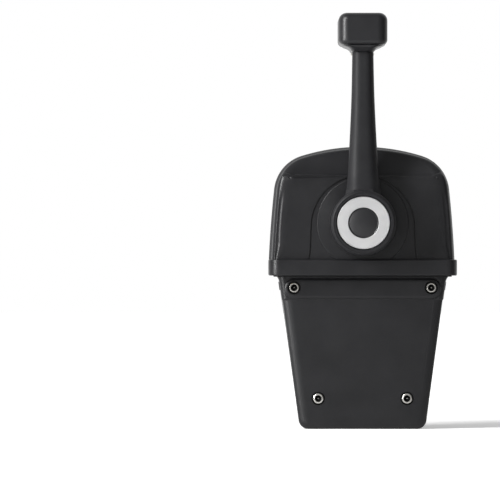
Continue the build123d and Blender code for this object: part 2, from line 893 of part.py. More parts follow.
with BuildPart() as drive_gear:
    add(tooth_gear(gear_teeth, gear_front, gear_back, axis_height, 0, shaft_radius))
    add(shaft_keys.part, mode=Mode.SUBTRACT)
save(drive_gear, "drive_gear")

with BuildPart() as sensor_pinion:
    add(
        tooth_gear(
            pinion_teeth, gear_front, gear_back, pinion_height, 180 / pinion_teeth,
            pinion_pin_radius + running_gap,
        )
    )
    add(
        shaft_disc(gear_front, gear_front + 1, magnet_radius, 0).moved(
            Location((0, 0, pinion_height - axis_height)))
    )
save(sensor_pinion, "sensor_pinion")

with BuildPart() as sensor_magnet:
    with BuildSketch(facing(gear_front)):
        with Locations((0, pinion_height)):
            Circle(magnet_radius)
    extrude(amount=magnet_thickness)
save(sensor_magnet, "sensor_magnet")

with BuildPart() as pinion_pin:
    with BuildSketch(facing(chassis_back)):
        with Locations((0, pinion_height)):
            Circle(pinion_pin_radius)
    extrude(amount=chassis_back - gear_front - 1 - seat_gap)
    with BuildSketch(facing(chassis_inner_back)):
        with Locations((0, pinion_height)):
            Circle(1.6 * pinion_pin_radius)
    extrude(amount=chassis_inner_back - gear_back - seat_gap)
save(pinion_pin, "pinion_pin")

with BuildPart() as sensor_board:
    with BuildSketch(facing(board_back)):
        with Locations((0, pinion_height)):
            Rectangle(board_width, board_height)
        with Locations((-board_screw_x, pinion_height + 6), (board_screw_x, pinion_height + 6)):
            Circle(board_screw_radius, mode=Mode.SUBTRACT)
    extrude(amount=board_thickness)
    with BuildSketch(facing(board_back + 1.2)):
        with Locations((0, pinion_height)):
            Rectangle(5, 6)
    extrude(amount=1.2)
save(sensor_board, "sensor_board")

board_screws = screw_group(
    [
        Plane(origin=(x, board_back, pinion_height + 6), x_dir=(1, 0, 0), z_dir=(0, 1, 0))
        for x in (-board_screw_x, board_screw_x)
    ],
    2 * board_screw_radius, board_head_height, board_screw_radius, board_thickness + sensor_screw_bite,
    board_socket,
)
save(board_screws, "sensor_board_screws")

# ================================================================ lever: hub and stalk
def stalk_section(height, front, back, half_width):
    """Level octagon: a rectangle with its four corners cut to facets."""
    corner_x = stalk_facet_x * half_width
    corner_y = stalk_facet_y * (back - front)
    with BuildSketch(level(height), mode=Mode.PRIVATE) as section:
        Polygon(
            (corner_x - half_width, front), (half_width - corner_x, front),
            (half_width, front + corner_y), (half_width, back - corner_y),
            (half_width - corner_x, back), (corner_x - half_width, back),
            (-half_width, back - corner_y), (-half_width, front + corner_y), align=None,
        )
    return section.sketch


with BuildPart() as stalk:
    loft([stalk_section(*section) for section in flare_sections])
    loft([stalk_section(*section) for section in blade_sections], ruled=True)

with BuildPart() as lever_arm:
    with BuildSketch(facing(hub_back)):
        with Locations((0, axis_height)):
            Circle(hub_radius)
    extrude(amount=hub_back - hub_front)
    fillet(lever_arm.faces().sort_by(Axis.Y)[0].edges(), radius=hub_edge)
    with BuildSketch(facing(hub_back)):
        with Locations((0, axis_height)):
            Circle(hub_radius + cheek_proud)
        with Locations((0, (cheek_top + cheek_bottom) / 2)):
            Rectangle(4 * hub_radius, cheek_top - cheek_bottom, mode=Mode.INTERSECT)
    extrude(amount=hub_back - cheek_front)
    add(stalk.part)
    with BuildSketch(level(pad_bottom)):
        with Locations((0, (pad_front + pad_back) / 2)):
            RectangleRounded(2 * pad_half_width, pad_back - pad_front, 4)
    extrude(amount=pad_thickness)
    with BuildSketch(facing(hub_slit_y + hub_slit_width / 2)):
        with Locations((0, axis_height)):
            Circle(hub_radius + wall)
            Circle(hub_radius - hub_slit_depth, mode=Mode.SUBTRACT)
        with Locations((0, cheek_bottom)):
            Rectangle(4 * hub_radius, 4 * hub_radius, align=(Align.CENTER, Align.MIN), mode=Mode.SUBTRACT)
    extrude(amount=hub_slit_width, mode=Mode.SUBTRACT)
    for back, radius in (
        (hub_front + hub_step_depth, hub_step_radius),
        (ring_back, ring_radius + ring_gap),
        (button_pocket_floor, button_lip_radius + free_gap),
        (clamp_floor, button_skirt_radius + running_gap),
        (shaft_front, clamp_screw_radius),
    ):
        with BuildSketch(facing(back)):
            with Locations((0, axis_height)):
                Circle(radius)
        extrude(amount=back - hub_front + 1, mode=Mode.SUBTRACT)
    with BuildSketch(facing(hub_back)):
        with Locations((0, axis_height)):
            Circle(shaft_radius)
    extrude(amount=hub_back - shaft_front, mode=Mode.SUBTRACT)
    add(shaft_keys.part, mode=Mode.SUBTRACT)
    with BuildSketch(along_rod(rod_bottom)):
        Circle(rod_radius + rod_clearance)
    extrude(amount=1.5 * (grip_parting - rod_bottom), mode=Mode.SUBTRACT)
    with BuildSketch(along_rod(spring_well_bottom)):
        Circle(spring_well_radius)
    extrude(amount=1.5 * (grip_parting - spring_well_bottom), mode=Mode.SUBTRACT)
    with BuildSketch(level(pad_bottom)):
        with Locations((-grip_screw_x, grip_screw_y), (grip_screw_x, grip_screw_y)):
            Circle(grip_screw_radius)
    extrude(amount=pad_thickness, mode=Mode.SUBTRACT)
save(lever_arm, "lever_arm")

with BuildPart() as hub_ring:
    add(shaft_disc(ring_front, ring_back, ring_radius, ring_bore))
    chamfer(hub_ring.faces().sort_by(Axis.Y)[0].edges(), length=0.5)
save(hub_ring, "hub_ring")

with BuildPart() as clamp_screw:
    with BuildSketch(facing(clamp_floor)):
        with Locations((0, axis_height)):
            Circle(clamp_head_radius)
    extrude(amount=clamp_head_height)
    with BuildSketch(facing(clamp_floor - clamp_head_height)):
        with Locations((0, axis_height)):
            RegularPolygon(clamp_socket, 6)
    extrude(amount=-0.6 * clamp_head_height, mode=Mode.SUBTRACT)
    with BuildSketch(facing(clamp_floor + clamp_screw_length)):
        with Locations((0, axis_height)):
            Circle(clamp_screw_radius)
    extrude(amount=clamp_screw_length)
save(clamp_screw, "hub_clamp_screw")

dome_front = ring_front + button_edge / 2
with BuildPart() as neutral_button:
    with BuildSketch(Plane.YZ):
        with BuildLine():
            skirt_end = button_lip_back + button_skirt_length
            inner = button_skirt_radius - button_skirt_wall
            Polyline(
                (dome_front - button_dome, axis_height), (button_lip_back, axis_height),
                (button_lip_back, axis_height + inner), (skirt_end, axis_height + inner),
                (skirt_end, axis_height + button_skirt_radius),
                (button_lip_back, axis_height + button_skirt_radius),
                (button_lip_back, axis_height + button_lip_radius),
                (button_lip_front, axis_height + button_lip_radius),
                (button_lip_front, axis_height + button_radius),
                (dome_front, axis_height + button_radius),
            )
            TangentArc(
                (dome_front - button_dome, axis_height), (dome_front, axis_height + button_radius),
                tangent=(0, 1),
            )
        make_face()
    revolve(axis=Axis((0, 0, axis_height), (0, 1, 0)))
save(neutral_button, "neutral_button")

button_spring_length = clamp_floor - (button_lip_back + button_travel) - seat_gap
with BuildPart() as button_spring:
    add(
        coil(
            Plane(origin=(0, clamp_floor, axis_height), x_dir=(1, 0, 0), z_dir=(0, -1, 0)),
            button_spring_radius, button_spring_wire, button_spring_length, 3,
        )
    )
save(button_spring, "button_spring")

# ================================================================ grip, trigger and release rod
with BuildPart() as release_rod:
    with BuildSketch(along_rod(rod_bottom + free_gap)):
        Circle(rod_radius)
    extrude(amount=(bridge_top - rod_bottom - 2 * free_gap) / cos(tilt) - rod_radius)
    with BuildSketch(along_rod(spring_well_bottom + free_gap)):
        Circle(rod_collar_radius)
    extrude(amount=rod_collar_thickness)
save(release_rod, "release_rod")

with BuildPart() as release_trigger:
    with BuildSketch(level(trigger_bottom)):
        with Locations((0, (trigger_front + trigger_back) / 2)):
            RectangleRounded(2 * trigger_half_width, trigger_back - trigger_front, 1.2)
    extrude(amount=bridge_top - trigger_bottom)
    with BuildSketch(level(bridge_bottom)):
        bridge_front = stalk_axis_y + (bridge_bottom - stalk_axis_height) * tan(tilt) - 2 * rod_radius
        with Locations((0, bridge_front)):
            Rectangle(
                2 * bridge_half_width, trigger_front - bridge_front + wall, align=(Align.CENTER, Align.MIN))
    extrude(amount=bridge_thickness)
    add(release_rod.part, mode=Mode.SUBTRACT)
    for step in range(3):
        with BuildSketch(level(trigger_bottom + 1.2 + step * trigger_groove_pitch)):
            with Locations((0, (trigger_front + trigger_back) / 2)):
                Rectangle(3 * trigger_half_width, trigger_back - trigger_front)
                Rectangle(
                    2 * trigger_half_width - trigger_groove, trigger_back - trigger_front - trigger_groove,
                    mode=Mode.SUBTRACT,
                )
        extrude(amount=trigger_groove, mode=Mode.SUBTRACT)
save(release_trigger, "release_trigger")

spring_cap_foot = grip_parting - spring_cap_thickness - 1.2
with BuildPart() as spring_cap:
    with BuildSketch(along_rod(spring_cap_foot)):
        Circle(spring_well_radius)
        Circle(rod_radius + rod_clearance, mode=Mode.SUBTRACT)
    extrude(amount=spring_cap_thickness)
save(spring_cap, "spring_cap")

trigger_spring_foot = (
    spring_well_bottom + (free_gap + rod_collar_thickness + trigger_travel + 2 * seat_gap) * cos(tilt)
)
with BuildPart() as trigger_spring:
    add(
        coil(
            along_rod(trigger_spring_foot), trigger_spring_radius - trigger_spring_wire / 2,
            trigger_spring_wire, (spring_cap_foot - trigger_spring_foot) / cos(tilt) - seat_gap, 6,
        )
    )
save(trigger_spring, "trigger_spring")

slot_back = trigger_back + trigger_drift + free_gap
slot_front = trigger_front - free_gap
slot_half_width = trigger_half_width + free_gap
with BuildPart() as grip_base:
    for height, front, back, half_width, corner in (
        (grip_parting - grip_seam, base_front, base_lip_back, base_lip_half_width, grip_corner),
        (base_waist, base_waist_front, base_waist_back, base_waist_half_width, grip_corner),
        (base_bottom, base_foot_front, base_foot_back, base_foot_half_width, grip_corner - wall),
    ):
        with BuildSketch(level(height)):
            with Locations((0, (front + back) / 2)):
                RectangleRounded(2 * half_width, back - front, corner)
    loft()
    with BuildSketch(level(grip_parting - grip_seam)):
        with Locations((0, (base_front + base_back) / 2)):
            RectangleRounded(2 * base_half_width - 6, base_back - base_front - 4, grip_corner - 2)
    extrude(amount=grip_seam)
    add(lever_arm.part, mode=Mode.SUBTRACT)
    with BuildSketch(level(base_bottom - wall)):
        with Locations((0, (slot_front + slot_back) / 2)):
            Rectangle(2 * slot_half_width, slot_back - slot_front)
        with Locations((-grip_screw_x, grip_screw_y), (grip_screw_x, grip_screw_y)):
            Circle(grip_screw_radius)
    extrude(amount=grip_parting - base_bottom + 2 * wall, mode=Mode.SUBTRACT)
    with BuildSketch(level(base_bottom - wall)):
        with Locations((-grip_screw_x, grip_screw_y), (grip_screw_x, grip_screw_y)):
            Circle(grip_screw_head_radius + seat_gap)
    extrude(amount=wall + grip_screw_head_height + 0.4, mode=Mode.SUBTRACT)
    with BuildSketch(along_rod(spring_well_bottom)):
        Circle(spring_well_radius)
    extrude(amount=1.5 * (grip_parting - spring_well_bottom), mode=Mode.SUBTRACT)
save(grip_base, "grip_base")

grip_screws = screw_group(
    [
        Plane(
            origin=(x, grip_screw_y, base_bottom + grip_screw_head_height + 0.4),
            x_dir=(1, 0, 0), z_dir=(0, 0, -1),
        )
        for x in (-grip_screw_x, grip_screw_x)
    ],
    grip_screw_head_radius, grip_screw_head_height, grip_screw_radius, grip_screw_length,
    small_socket,
)
save(grip_screws, "grip_screws")

bridge_roof = bridge_top + trigger_travel + free_gap
with BuildPart() as grip_shell:
    with BuildSketch(level(grip_parting)):
        with Locations((0, (grip_front + grip_back) / 2)):
            RectangleRounded(2 * grip_half_width, grip_back - grip_front, grip_corner)
    extrude(amount=grip_top - grip_parting)
    fillet(grip_shell.faces().sort_by(Axis.Z)[-1].edges(), radius=grip_top_radius)
    fillet(grip_shell.faces().sort_by(Axis.Z)[0].edges(), radius=grip_lower_rim)
    with BuildSketch(level(grip_parting)):
        with Locations((0, (slot_front + slot_back) / 2)):
            Rectangle(2 * slot_half_width, slot_back - slot_front)
        with Locations((0, bridge_front - free_gap)):
            Rectangle(
                2 * bridge_half_width + 2 * free_gap, slot_front - bridge_front + wall,
                align=(Align.CENTER, Align.MIN),
            )
    extrude(amount=bridge_roof - grip_parting, mode=Mode.SUBTRACT)
    add(grip_screws.part, mode=Mode.SUBTRACT)
save(grip_shell, "grip_shell")

# ================================================================ lower housing
lower_back_points = (
    (lower_back, lower_top), (lower_back, shelf_z), (throat_y, throat_z), (cover_end_y, cover_end_z))
seam_points = (
    (seam_y, lower_top), (seam_y, seam_shelf_z), (seam_throat_y, seam_throat_z), (seam_end_y, cover_end_z))


def lower_block(grow, corner):
    """Deep box under the flange, tapered across its width and waisted at the back, grown by grow."""
    with BuildPart() as block:
        with BuildSketch(Plane.YZ):
            with BuildLine():
                back = FilletPolyline(*lower_back_points, radius=(shelf_radius, throat_radius))
                Polyline(
                    back @ 1, (seam_end_y, cover_end_z), (lower_back_bottom, lower_bottom),
                    (lower_front, lower_bottom), (lower_front, lower_top), back @ 0,
                )
            make_face()
            if grow:
                offset(amount=grow)
        extrude(amount=lower_half_top, both=True)
        with BuildSketch(facing(flange_depth)):
            Polygon(
                (-lower_half_top, lower_top), (lower_half_top, lower_top),
                (lower_half_bottom, lower_bottom), (-lower_half_bottom, lower_bottom), align=None,
            )
            fillet(vertices().group_by(Axis.Y)[0], radius=corner)
            if grow:
                offset(amount=grow)
        extrude(amount=2 * flange_depth, mode=Mode.INTERSECT)
    return block.part


with BuildPart() as lower_outer:
    add(lower_block(0, lower_corner))
    rim = lower_outer.faces().sort_by(Axis.Y)[0].edges().filter_by(lambda e: (e @ 0.5).Z < lower_top - 0.01)
    fillet(rim, radius=lower_edge)
lower_inner = lower_block(-wall, lower_corner)

with BuildPart() as front_region:
    with BuildSketch(Plane.YZ):
        with BuildLine():
            seam = FilletPolyline(*seam_points, radius=(seam_radius, throat_radius))
            Polyline(
                seam @ 1, (lower_back, cover_end_z), (lower_back, lower_bottom - wall),
                (lower_front - wall, lower_bottom - wall), (lower_front - wall, lower_top + wall),
                (seam_y, lower_top + wall), seam @ 0,
            )
        make_face()
    extrude(amount=flange_width, both=True)

front_screw_places = [
    (side * x, z)
    for side in (-1, 1)
    for x, z in ((screw_upper_x, screw_upper_z), (screw_lower_x, screw_lower_z))
]
stub_top = cover_end_z - connector_stub_drop
stub_bottom = stub_top - connector_stub_height

with BuildPart() as side_pads:
    add(lower_block(side_pad_proud, lower_corner))
    with BuildSketch(Plane.YZ):
        with Locations(((side_pad_front + side_pad_back) / 2, (side_pad_top + side_pad_bottom) / 2)):
            RectangleRounded(side_pad_back - side_pad_front, side_pad_top - side_pad_bottom, side_pad_corner)
    extrude(amount=flange_width, both=True, mode=Mode.INTERSECT)

with BuildPart() as lower_housing:
    add(lower_outer.part)
    add(side_pads.part)
    with BuildSketch(facing(lower_front + wall / 2)):
        with Locations((0, (pad_bar_top + pad_bar_bottom) / 2)):
            RectangleRounded(
                2 * pad_bar_half_width, pad_bar_top - pad_bar_bottom, 0.499 * (pad_bar_top - pad_bar_bottom))
    extrude(amount=wall / 2 + pad_bar_proud)
    add(front_region.part, mode=Mode.INTERSECT)
    add(lower_inner, mode=Mode.SUBTRACT)
    with BuildSketch(facing(carrier_front)):
        with Locations(front_screw_places):
            Circle(front_boss_radius)
    extrude(amount=carrier_front - lower_front - wall / 2)
    with BuildSketch(facing(carrier_front)):
        with Locations(front_screw_places):
            Circle(front_screw_radius)
    extrude(amount=3 * wall, mode=Mode.SUBTRACT)
    with BuildSketch(facing(lower_front + front_recess_depth)):
        with Locations(front_screw_places):
            Circle(front_recess_radius)
    extrude(amount=2 * wall, mode=Mode.SUBTRACT)
    with BuildSketch(level(-wall)):
        Rectangle(cable_window_width, cable_window_depth)
        with Locations(deck_screw_places):
            Circle(chassis_screw_radius)
    extrude(amount=wall, mode=Mode.SUBTRACT)
    with BuildSketch(facing(connector_back)):
        with Locations((0, (stub_top + stub_bottom) / 2)):
            Rectangle(2 * connector_stub_half_width, stub_top - stub_bottom)
    extrude(amount=connector_back - lower_back_bottom + wall, mode=Mode.SUBTRACT)
save(lower_housing, "lower_housing")

with BuildPart() as lower_rear_cover:
    add(lower_outer.part)
    add(front_region.part, mode=Mode.SUBTRACT)
    add(lower_inner, mode=Mode.SUBTRACT)
    with BuildSketch(facing(lower_back - wall / 2)):
        with Locations((-screw_upper_x, screw_upper_z), (screw_upper_x, screw_upper_z)):
            Circle(front_boss_radius)
            Circle(front_screw_radius, mode=Mode.SUBTRACT)
    extrude(amount=lower_back - wall / 2 - carrier_back)
save(lower_rear_cover, "lower_rear_cover")

with BuildPart() as front_screws:
    for (x, z), length in zip(front_screw_places, 2 * front_screw_lengths):
        add(
            button_head_screw(
                Plane(origin=(x, lower_front + front_recess_depth, z), x_dir=(1, 0, 0), z_dir=(0, -1, 0)),
                front_head_radius, front_head_height, front_screw_radius, length, front_socket_radius,
            )
        )
save(front_screws, "front_screws")

deck_screws = screw_group(
    [
        Plane(origin=(x, y, -wall), x_dir=(1, 0, 0), z_dir=(0, 0, -1))
        for x, y in deck_screw_places
    ],
    chassis_head_radius, chassis_head_height, chassis_screw_radius, 0.8 * flange_height, small_socket,
)
save(deck_screws, "deck_screws")

# ================================================================ carrier, control board and connector
with BuildPart() as board_carrier:
    with BuildSketch(facing(carrier_back)):
        Polygon(
            (-lower_half_top + 2 * wall, -wall - free_gap), (lower_half_top - 2 * wall, -wall - free_gap),
            (lower_half_bottom - 2 * wall, screw_lower_z - 2 * wall),
            (-lower_half_bottom + 2 * wall, screw_lower_z - 2 * wall), align=None,
        )
        with Locations(front_screw_places):
            Circle(front_screw_radius, mode=Mode.SUBTRACT)
    extrude(amount=carrier_back - carrier_front)
    with BuildSketch(facing(control_board_front)):
        with Locations((0, (control_board_top + control_board_bottom) / 2)):
            with GridLocations(2 * control_screw_x, control_screw_pitch, 2, 2):
                Circle(control_boss_radius)
    extrude(amount=control_board_front - carrier_back)
    with BuildSketch(facing(control_board_front)):
        with Locations((0, (control_board_top + control_board_bottom) / 2)):
            with GridLocations(2 * control_screw_x, control_screw_pitch, 2, 2):
                Circle(board_screw_radius)
    extrude(amount=control_board_front - carrier_back, mode=Mode.SUBTRACT)
save(board_carrier, "board_carrier")

with BuildPart() as control_board:
    with BuildSketch(facing(control_board_front + board_thickness)):
        with Locations((0, (control_board_top + control_board_bottom) / 2)):
            Rectangle(2 * control_board_half_width, control_board_top - control_board_bottom)
            with GridLocations(2 * control_screw_x, control_screw_pitch, 2, 2):
                Circle(board_screw_radius, mode=Mode.SUBTRACT)
    extrude(amount=board_thickness)
save(control_board, "control_board")

control_board_screws = screw_group(
    [
        Plane(
            origin=(x, control_board_front + board_thickness, z), x_dir=(1, 0, 0), z_dir=(0, 1, 0))
        for x in (-control_screw_x, control_screw_x)
        for z in (
            (control_board_top + control_board_bottom - control_screw_pitch) / 2,
            (control_board_top + control_board_bottom + control_screw_pitch) / 2,
        )
    ],
    2 * board_screw_radius, board_head_height, board_screw_radius,
    board_thickness + control_screw_bite, board_socket,
)
save(control_board_screws, "control_board_screws")

with BuildPart() as connector_shell:
    with BuildSketch(Plane.YZ):
        Polygon(
            (cover_end_y + 1.4 + connector_gap, connector_top), (connector_back, connector_top),
            (connector_back - 2, connector_bottom),
            (lower_back_bottom + connector_gap + 0.2, connector_bottom),
            (seam_end_y + connector_gap, cover_end_z - connector_gap),
            (cover_end_y + connector_gap, cover_end_z - connector_gap), align=None,
        )
        fillet(vertices().sort_by(Axis.X)[-1], radius=connector_corner)
    extrude(amount=connector_half_width, both=True)
    fillet(connector_shell.edges().filter_by(
        lambda e: abs(e.tangent_at(0.5).Z) > 0.9 and (e @ 0.5).Y > 0), radius=3)
    socket_y = connector_back - 2 - wall - socket_half_depth
    with BuildSketch(facing(cover_end_y + wall)):
        with Locations((0, (stub_top + stub_bottom) / 2)):
            Rectangle(2 * (connector_stub_half_width - seat_gap), connector_stub_height - 2 * seat_gap)
    extrude(amount=cover_end_y - lower_back_bottom + 2 * wall)
    for z in connector_rib_heights:
        with BuildSketch(level(z)):
            with Locations((0, cover_end_y + 3)):
                Rectangle(
                    2 * (connector_half_width + connector_rib_proud),
                    connector_back - cover_end_y - 3 - 0.4, align=(Align.CENTER, Align.MIN),
                )
                fillet(vertices().group_by(Axis.Y)[-1], radius=3)
        extrude(amount=connector_rib_height)
    with BuildSketch(level(connector_bottom)):
        with Locations((0, socket_y)):
            RectangleRounded(2 * socket_half_width, 2 * socket_half_depth, 2)
    extrude(amount=socket_depth, mode=Mode.SUBTRACT)
    with BuildSketch(level(connector_bottom + socket_depth)):
        with Locations((0, socket_y)):
            with GridLocations(contact_pitch, contact_pitch, contact_columns, contact_rows):
                Circle(contact_radius)
    extrude(amount=2, mode=Mode.SUBTRACT)
save(connector_shell, "connector_shell")

with BuildPart() as connector_contacts:
    with BuildSketch(level(connector_bottom + socket_depth + 2)):
        with Locations((0, socket_y)):
            with GridLocations(contact_pitch, contact_pitch, contact_columns, contact_rows):
                Circle(contact_radius)
    extrude(amount=-contact_length)
save(connector_contacts, "connector_contacts")
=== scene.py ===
# %% [markdown]
# # A single-lever boat throttle control, finished in Blender
# The construction model gives every piece its place and its size. This script gives them the look of the
# real object: black mouldings with a fine spark-eroded grain, a powder-coated lever, a satin ring, and
# stainless screws. Blender works in metres. The sizes below are in millimetres, since every real size of
# the object is known that way, and `MM` turns them into metres.

import bpy
import bmesh
import json
import numpy as np
from math import pi, radians
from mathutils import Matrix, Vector

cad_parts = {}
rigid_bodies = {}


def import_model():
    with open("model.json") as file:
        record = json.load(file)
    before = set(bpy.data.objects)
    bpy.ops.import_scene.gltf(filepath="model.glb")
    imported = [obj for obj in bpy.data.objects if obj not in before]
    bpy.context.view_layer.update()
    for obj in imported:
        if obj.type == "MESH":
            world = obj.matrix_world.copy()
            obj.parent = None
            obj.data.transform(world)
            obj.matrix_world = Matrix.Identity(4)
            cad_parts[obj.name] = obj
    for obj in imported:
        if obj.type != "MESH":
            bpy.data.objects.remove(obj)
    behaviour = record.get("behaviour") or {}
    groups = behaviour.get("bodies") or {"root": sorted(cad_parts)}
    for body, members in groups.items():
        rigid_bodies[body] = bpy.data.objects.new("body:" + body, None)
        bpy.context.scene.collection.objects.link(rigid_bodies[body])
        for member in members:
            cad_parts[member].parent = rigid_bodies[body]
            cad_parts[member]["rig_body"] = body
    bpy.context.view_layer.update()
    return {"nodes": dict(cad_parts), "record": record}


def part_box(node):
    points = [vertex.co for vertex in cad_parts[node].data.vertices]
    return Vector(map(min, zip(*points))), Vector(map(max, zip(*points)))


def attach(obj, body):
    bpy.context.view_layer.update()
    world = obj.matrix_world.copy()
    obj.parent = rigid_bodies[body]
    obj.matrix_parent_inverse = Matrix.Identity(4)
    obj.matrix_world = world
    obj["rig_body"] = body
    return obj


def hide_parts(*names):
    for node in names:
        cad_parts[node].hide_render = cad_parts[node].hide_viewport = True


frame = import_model()
MM = 0.001
AXIS_HEIGHT = 46.0     # the lever's axis, in mm above the console
FOOT_DEPTH = 134.5     # the lower housing's foot, in mm below it
nodes = frame["nodes"]
slot_of = {row["node"]: row["material_slot"] for row in frame["record"]["subparts"]}
print(len(nodes), "pieces loaded")

# %% [markdown]
# ## Colours and node helpers
# Colours are written as the hex values seen on the object and turned to linear light by one function.
# One small function adds a shader node and wires its inputs, so a material reads as a list of steps. The
# same could be built by hand in the shader editor, but then every number would hide in a node.

# %% Helpers for nodes
NOISE_LOW, NOISE_HIGH = 0.3, 0.7     # where most values of a noise lie


def linear(code):
    """Linear RGBA of an sRGB hex colour such as '#2b2b2b'."""
    part = np.array([int(code[i:i + 2], 16) for i in (1, 3, 5)]) / 255
    part = np.where(part <= 0.04045, part / 12.92, ((part + 0.055) / 1.055) ** 2.4)
    return (*[float(v) for v in part], 1.0)


def add_node(tree, kind, inputs=None, **settings):
    """Adds a shader node. An input is a plain value or the output socket of another node."""
    node = tree.nodes.new(kind)
    for key, value in settings.items():
        setattr(node, key, value)
    for key, value in (inputs or {}).items():
        if isinstance(value, bpy.types.NodeSocket):
            tree.links.new(value, node.inputs[key])
        else:
            node.inputs[key].default_value = value
    return node


def ramp(tree, factor, low, high, start=0.35, end=0.65):
    """A colour ramp between two hex colours."""
    node = add_node(tree, "ShaderNodeValToRGB", {"Fac": factor})
    for stop, place, colour in zip(node.color_ramp.elements, (start, end), (low, high)):
        stop.position = place
        stop.color = linear(colour)
    return node.outputs["Color"]


def spread(tree, factor, low, high):
    """A number that runs from low to high as a noise runs through its usual values."""
    node = add_node(tree, "ShaderNodeMapRange", {
        "Value": factor, "From Min": NOISE_LOW, "From Max": NOISE_HIGH, "To Min": low, "To Max": high})
    return node.outputs["Result"]


def new_material(name):
    """A named material with its tree cleared but for the output and one Principled shader."""
    material = bpy.data.materials.new(name)
    material.use_nodes = True
    tree = material.node_tree
    tree.nodes.clear()
    shader = add_node(tree, "ShaderNodeBsdfPrincipled")
    output = add_node(tree, "ShaderNodeOutputMaterial")
    tree.links.new(shader.outputs["BSDF"], output.inputs["Surface"])
    place = add_node(tree, "ShaderNodeTexCoord").outputs["Object"]
    return material, tree, shader, place


def noise(tree, place, size_mm, detail=2.0, roughness=0.5):
    """Noise whose patches are about size_mm across."""
    node = add_node(tree, "ShaderNodeTexNoise", {
        "Vector": place, "Scale": 1 / (size_mm * MM), "Detail": detail, "Roughness": roughness})
    return node.outputs["Fac"]


def bump(tree, height, depth_mm):
    """Relief of depth_mm where the height runs from 0 to 1."""
    node = add_node(tree, "ShaderNodeBump", {
        "Height": height, "Distance": depth_mm * MM, "Strength": 1.0})
    return node.outputs["Normal"]


print("helpers for nodes ready")

# %% [markdown]
# ## Two kinds of finish
# Nothing on the real object has one flat colour. A moulding takes the grain of its mould and cools unevenly,
# and a metal keeps the marks of the tool. So both kinds of finish mix a fine grain with slow patches, whose
# sizes are given in millimetres on the object.

# %% Helpers for finishes
GRAIN_SHARE = 0.45      # the part of a plastic's tone that follows the grain, not the patches


def grained(name, dark, light, rough, grain_mm, depth_mm, specular=0.5, patch_mm=28.0):
    """Moulded plastic, rubber or powder coat: a fine grain over slow changes in tone and in gloss. rough
    holds the lowest and the highest roughness, and depth_mm is how deep the grain is."""
    material, tree, shader, place = new_material(name)
    patch = noise(tree, place, patch_mm, detail=3.0)
    grain = noise(tree, place, grain_mm, roughness=0.6)
    speck = add_node(tree, "ShaderNodeMix", {"Factor": GRAIN_SHARE, "A": patch, "B": grain},
                     data_type="FLOAT")
    tone = ramp(tree, speck.outputs["Result"], dark, light, 0.32, 0.68)
    tree.links.new(tone, shader.inputs["Base Color"])
    tree.links.new(spread(tree, patch, *rough), shader.inputs["Roughness"])
    tree.links.new(bump(tree, grain, depth_mm), shader.inputs["Normal"])
    shader.inputs["Specular IOR Level"].default_value = specular
    return material


def metal(name, dark, light, rough, grain_mm, depth_mm, stretch=(1.0, 1.0, 1.0), patch_mm=9.0):
    """Bare or plated metal: the grain may be stretched along the way it was turned or rolled."""
    material, tree, shader, place = new_material(name)
    drawn = add_node(tree, "ShaderNodeMapping", {"Vector": place, "Scale": stretch})
    grain = noise(tree, drawn.outputs["Vector"], grain_mm, detail=3.0)
    patch = noise(tree, place, patch_mm)
    tree.links.new(ramp(tree, patch, dark, light), shader.inputs["Base Color"])
    tree.links.new(spread(tree, grain, *rough), shader.inputs["Roughness"])
    tree.links.new(bump(tree, grain, depth_mm), shader.inputs["Normal"])
    shader.inputs["Metallic"].default_value = 1.0
    return material


print("helpers for finishes ready")

# %% [markdown]
# ## Finishes
# Each finish is named for the real material and for how it was made. The grain sizes are real: a
# spark-eroded mould leaves pits of about half a millimetre, powder coat a slightly longer ripple.

